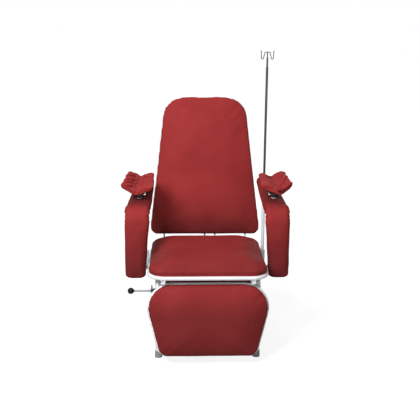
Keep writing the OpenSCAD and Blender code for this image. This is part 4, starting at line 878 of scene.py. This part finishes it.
def coverHem(name, shape, plane, body):
    # the cover is turned under the board and stapled; its cut edge waves a little
    outer, inner = (np.array(softOutline(shape, -reach, 0)) for reach in hemLook["reach"])
    count, points, faces = len(outer), [], []
    for i in range(count):
        wave = hemLook["wave"] * noise.noise(Vector((i * 0.31, len(name), 0.5)))
        way = (inner[i] - outer[i]) / np.linalg.norm(inner[i] - outer[i])
        edge = inner[i] + way * wave
        for spot, depth in ((outer[i], 0.0), (outer[i], hemLook["thick"]),
                            (edge - way * hemLook["fold"], hemLook["thick"]), (edge, 0.0)):
            points.append((spot[0], spot[1], -depth))
    for i in range(count):
        here, following = i * 4, ((i + 1) % count) * 4
        faces += [(here + k, following + k, following + (k + 1) % 4, here + (k + 1) % 4) for k in range(4)]
    hem = makePiece(name + "Hem", points, faces, redVinyl, False)
    hem.data.transform(plane)
    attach(hem, body)
    # staples run along the middle of the hem
    middle = (outer + inner) / 2
    steps = np.linalg.norm(np.roll(middle, -1, axis=0) - middle, axis=1)
    low, high = -hemLook["thick"] + hemLook["sunk"], -hemLook["thick"] - hemLook["wire"]
    wires, walked, due = [], 0.0, 0.0
    for i in range(count):
        while due < walked + steps[i]:
            way = (middle[(i + 1) % count] - middle[i]) / max(steps[i], 1e-9)
            spot = middle[i] + way * (due - walked)
            ends = [spot - way * hemLook["stapleHalf"], spot + way * hemLook["stapleHalf"]]
            path = [(*ends[0], low), (*ends[0], high), (*ends[1], high), (*ends[1], low)]
            wires.append((tubeShape(path, hemLook["wire"], 6), plane))
            due += hemLook["stapleGap"]
        walked += steps[i]
    staples = joinShapes(name + "Staples", wires, zincPlate)
    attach(staples, body)


for name, shape, plane, body in (("seat", seatShape, seatPlane, "base"),
                                 ("back", backShape, backPlane, "backrest"),
                                 ("leg", legShape, legPlane, "leg_rest")):
    coverHem(name, shape, plane, body)

# Weld beads where the stretchers and the middle cross tube meet the leg tubes and rails
weldLook = {"bead": 0.0019, "legRadius": 0.014, "sink": 0.93, "stretcherZ": 0.290, "stretcherRadius": 0.011,
            "crossY": -0.115, "crossRadius": 0.0125, "around": 36}


def weldRing(centre, axis, radius, seed):
    # uneven bead where one tube is welded to another
    turned = Vector(axis).to_track_quat("Z", "Y").to_matrix().to_4x4()
    turns = [2 * math.pi * k / weldLook["around"] for k in range(weldLook["around"])]
    circle = [(radius * math.cos(turn), radius * math.sin(turn), 0) for turn in turns]
    beads = [weldLook["bead"] * (1 + 0.16 * math.sin(k * 2.1 + seed) + 0.10 * math.sin(k * 3.7 + seed))
             for k in range(weldLook["around"])]
    return tubeShape(circle, beads, 8, True), Matrix.Translation(centre) @ turned


welds = []
for side in (-1, 1):
    x = side * (chair["legX"] - weldLook["legRadius"] * weldLook["sink"])
    for y in (chair["frontLegY"], chair["rearLegY"]):
        place = (x, y, weldLook["stretcherZ"])
        welds.append(weldRing(place, (1, 0, 0), weldLook["stretcherRadius"], y * 20 + side))
    place = (x, weldLook["crossY"], chair["railZ"])
    welds.append(weldRing(place, (1, 0, 0), weldLook["crossRadius"], side))
weldBeads = joinShapes("weldBeads", welds, whitePaint)
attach(weldBeads, "base")
print("trim made")

# Camera at the photograph's place, for a square picture
cameraLook = {"lens": 74.46, "sensor": 36.0, "place": (-0.154, -4.055, 1.816),
              "yaw": 0.042, "pitch": 0.279, "roll": 0.010}
yaw, pitch, roll = cameraLook["yaw"], cameraLook["pitch"], cameraLook["roll"]
ahead = Vector((math.sin(yaw) * math.cos(pitch), math.cos(yaw) * math.cos(pitch), -math.sin(pitch)))
level = Vector((math.cos(yaw), -math.sin(yaw), 0))
upright = level.cross(ahead)
across = level * math.cos(roll) + upright * math.sin(roll)
upward = upright * math.cos(roll) - level * math.sin(roll)
lensData = bpy.data.cameras.new("photoCamera")
lensData.lens, lensData.sensor_width = cameraLook["lens"], cameraLook["sensor"]
photoCamera = bpy.data.objects.new("photoCamera", lensData)
bpy.context.scene.collection.objects.link(photoCamera)
turned = Matrix((across, upward, -ahead)).transposed().to_4x4()
photoCamera.matrix_world = Matrix.Translation(cameraLook["place"]) @ turned
bpy.context.scene.camera = photoCamera


# Pale floor and sky: white to the camera and in reflections, with the object's shadow on the floor
def seenRays(tree):
    rays = addNode(tree, "LightPath").outputs
    seen = addNode(tree, "Math", {0: rays["Is Camera Ray"], 1: rays["Is Glossy Ray"]}, operation="ADD")
    seen = addNode(tree, "Math", {0: seen.outputs[0], 1: rays["Is Transmission Ray"]}, operation="ADD",
                   use_clamp=True)
    return seen.outputs[0]


# the glow goes from the first value to the second between two distances from the middle
floorLook = {"size": 14.0, "drop": 0.0006, "tone": (0.30, 0.30, 0.30, 1), "glow": (0.84, 0.98),
             "fade": (0.7, 2.4)}
floorMaterial, floorTree, floorShader = blankFinish("paleFloor")
floorTree.nodes.remove(floorShader)
spot = addNode(floorTree, "TexCoord").outputs["Object"]
away = addNode(floorTree, "VectorMath", {0: spot}, operation="LENGTH").outputs["Value"]
glowing = rampOf(floorTree, away, *floorLook["fade"], *floorLook["glow"])
strength = addNode(floorTree, "Math", {0: seenRays(floorTree), 1: glowing}, operation="MULTIPLY")
matte = addNode(floorTree, "BsdfDiffuse", {"Color": floorLook["tone"]})
glow = addNode(floorTree, "Emission", {"Color": (1, 1, 1, 1), "Strength": strength.outputs[0]})
both = addNode(floorTree, "AddShader", {0: matte.outputs[0], 1: glow.outputs[0]})
floorTree.links.new(both.outputs[0], floorTree.nodes["Material Output"].inputs["Surface"])
half, drop = floorLook["size"] / 2, floorLook["drop"]
floorCorners = [(x, y, -drop) for x, y in ((-half, -half), (half, -half), (half, half), (-half, half))]
floor = makePiece("floor", floorCorners, [(0, 1, 2, 3)], floorMaterial)

skyLook = {"light": 0.16, "seen": 1.0}
studio = bpy.data.worlds.new("studio")
bpy.context.scene.world = studio
studio.use_nodes = True
sky = studio.node_tree
sky.nodes["Background"].inputs["Color"].default_value = (1, 1, 1, 1)
sky.links.new(rampOf(sky, seenRays(sky), 0, 1, skyLook["light"], skyLook["seen"]),
              sky.nodes["Background"].inputs["Strength"])

lampPlan = {
    "keyLamp": {"place": (-1.15, -2.0, 2.3), "aim": (0, 0, 0.6), "size": 0.9, "power": 72},
    "overLamp": {"place": (-0.3, -0.3, 2.7), "aim": (0, 0, 0.6), "size": 0.8, "power": 13},
    "frontLamp": {"place": (-0.3, -3.2, 0.75), "aim": (0, 0, 0.6), "size": 0.6, "power": 12},
    "sideLamp": {"place": (2.0, -1.6, 2.0), "aim": (0, 0, 0.6), "size": 1.2, "power": 4},
    "rearLamp": {"place": (0.9, 2.6, 2.6), "aim": (0, 0, 0.7), "size": 2.0, "power": 26},
}
for name, plan in lampPlan.items():
    lamp = bpy.data.lights.new(name, "AREA")
    lamp.size, lamp.energy = plan["size"], plan["power"]
    lampObject = bpy.data.objects.new(name, lamp)
    lampObject.location = plan["place"]
    lampObject.rotation_mode = "QUATERNION"
    lampObject.rotation_quaternion = (Vector(plan["aim"]) - Vector(plan["place"])).to_track_quat("-Z", "Y")
    bpy.context.scene.collection.objects.link(lampObject)
bpy.context.scene.view_settings.view_transform = "Standard"
print("camera, floor and lamps placed")
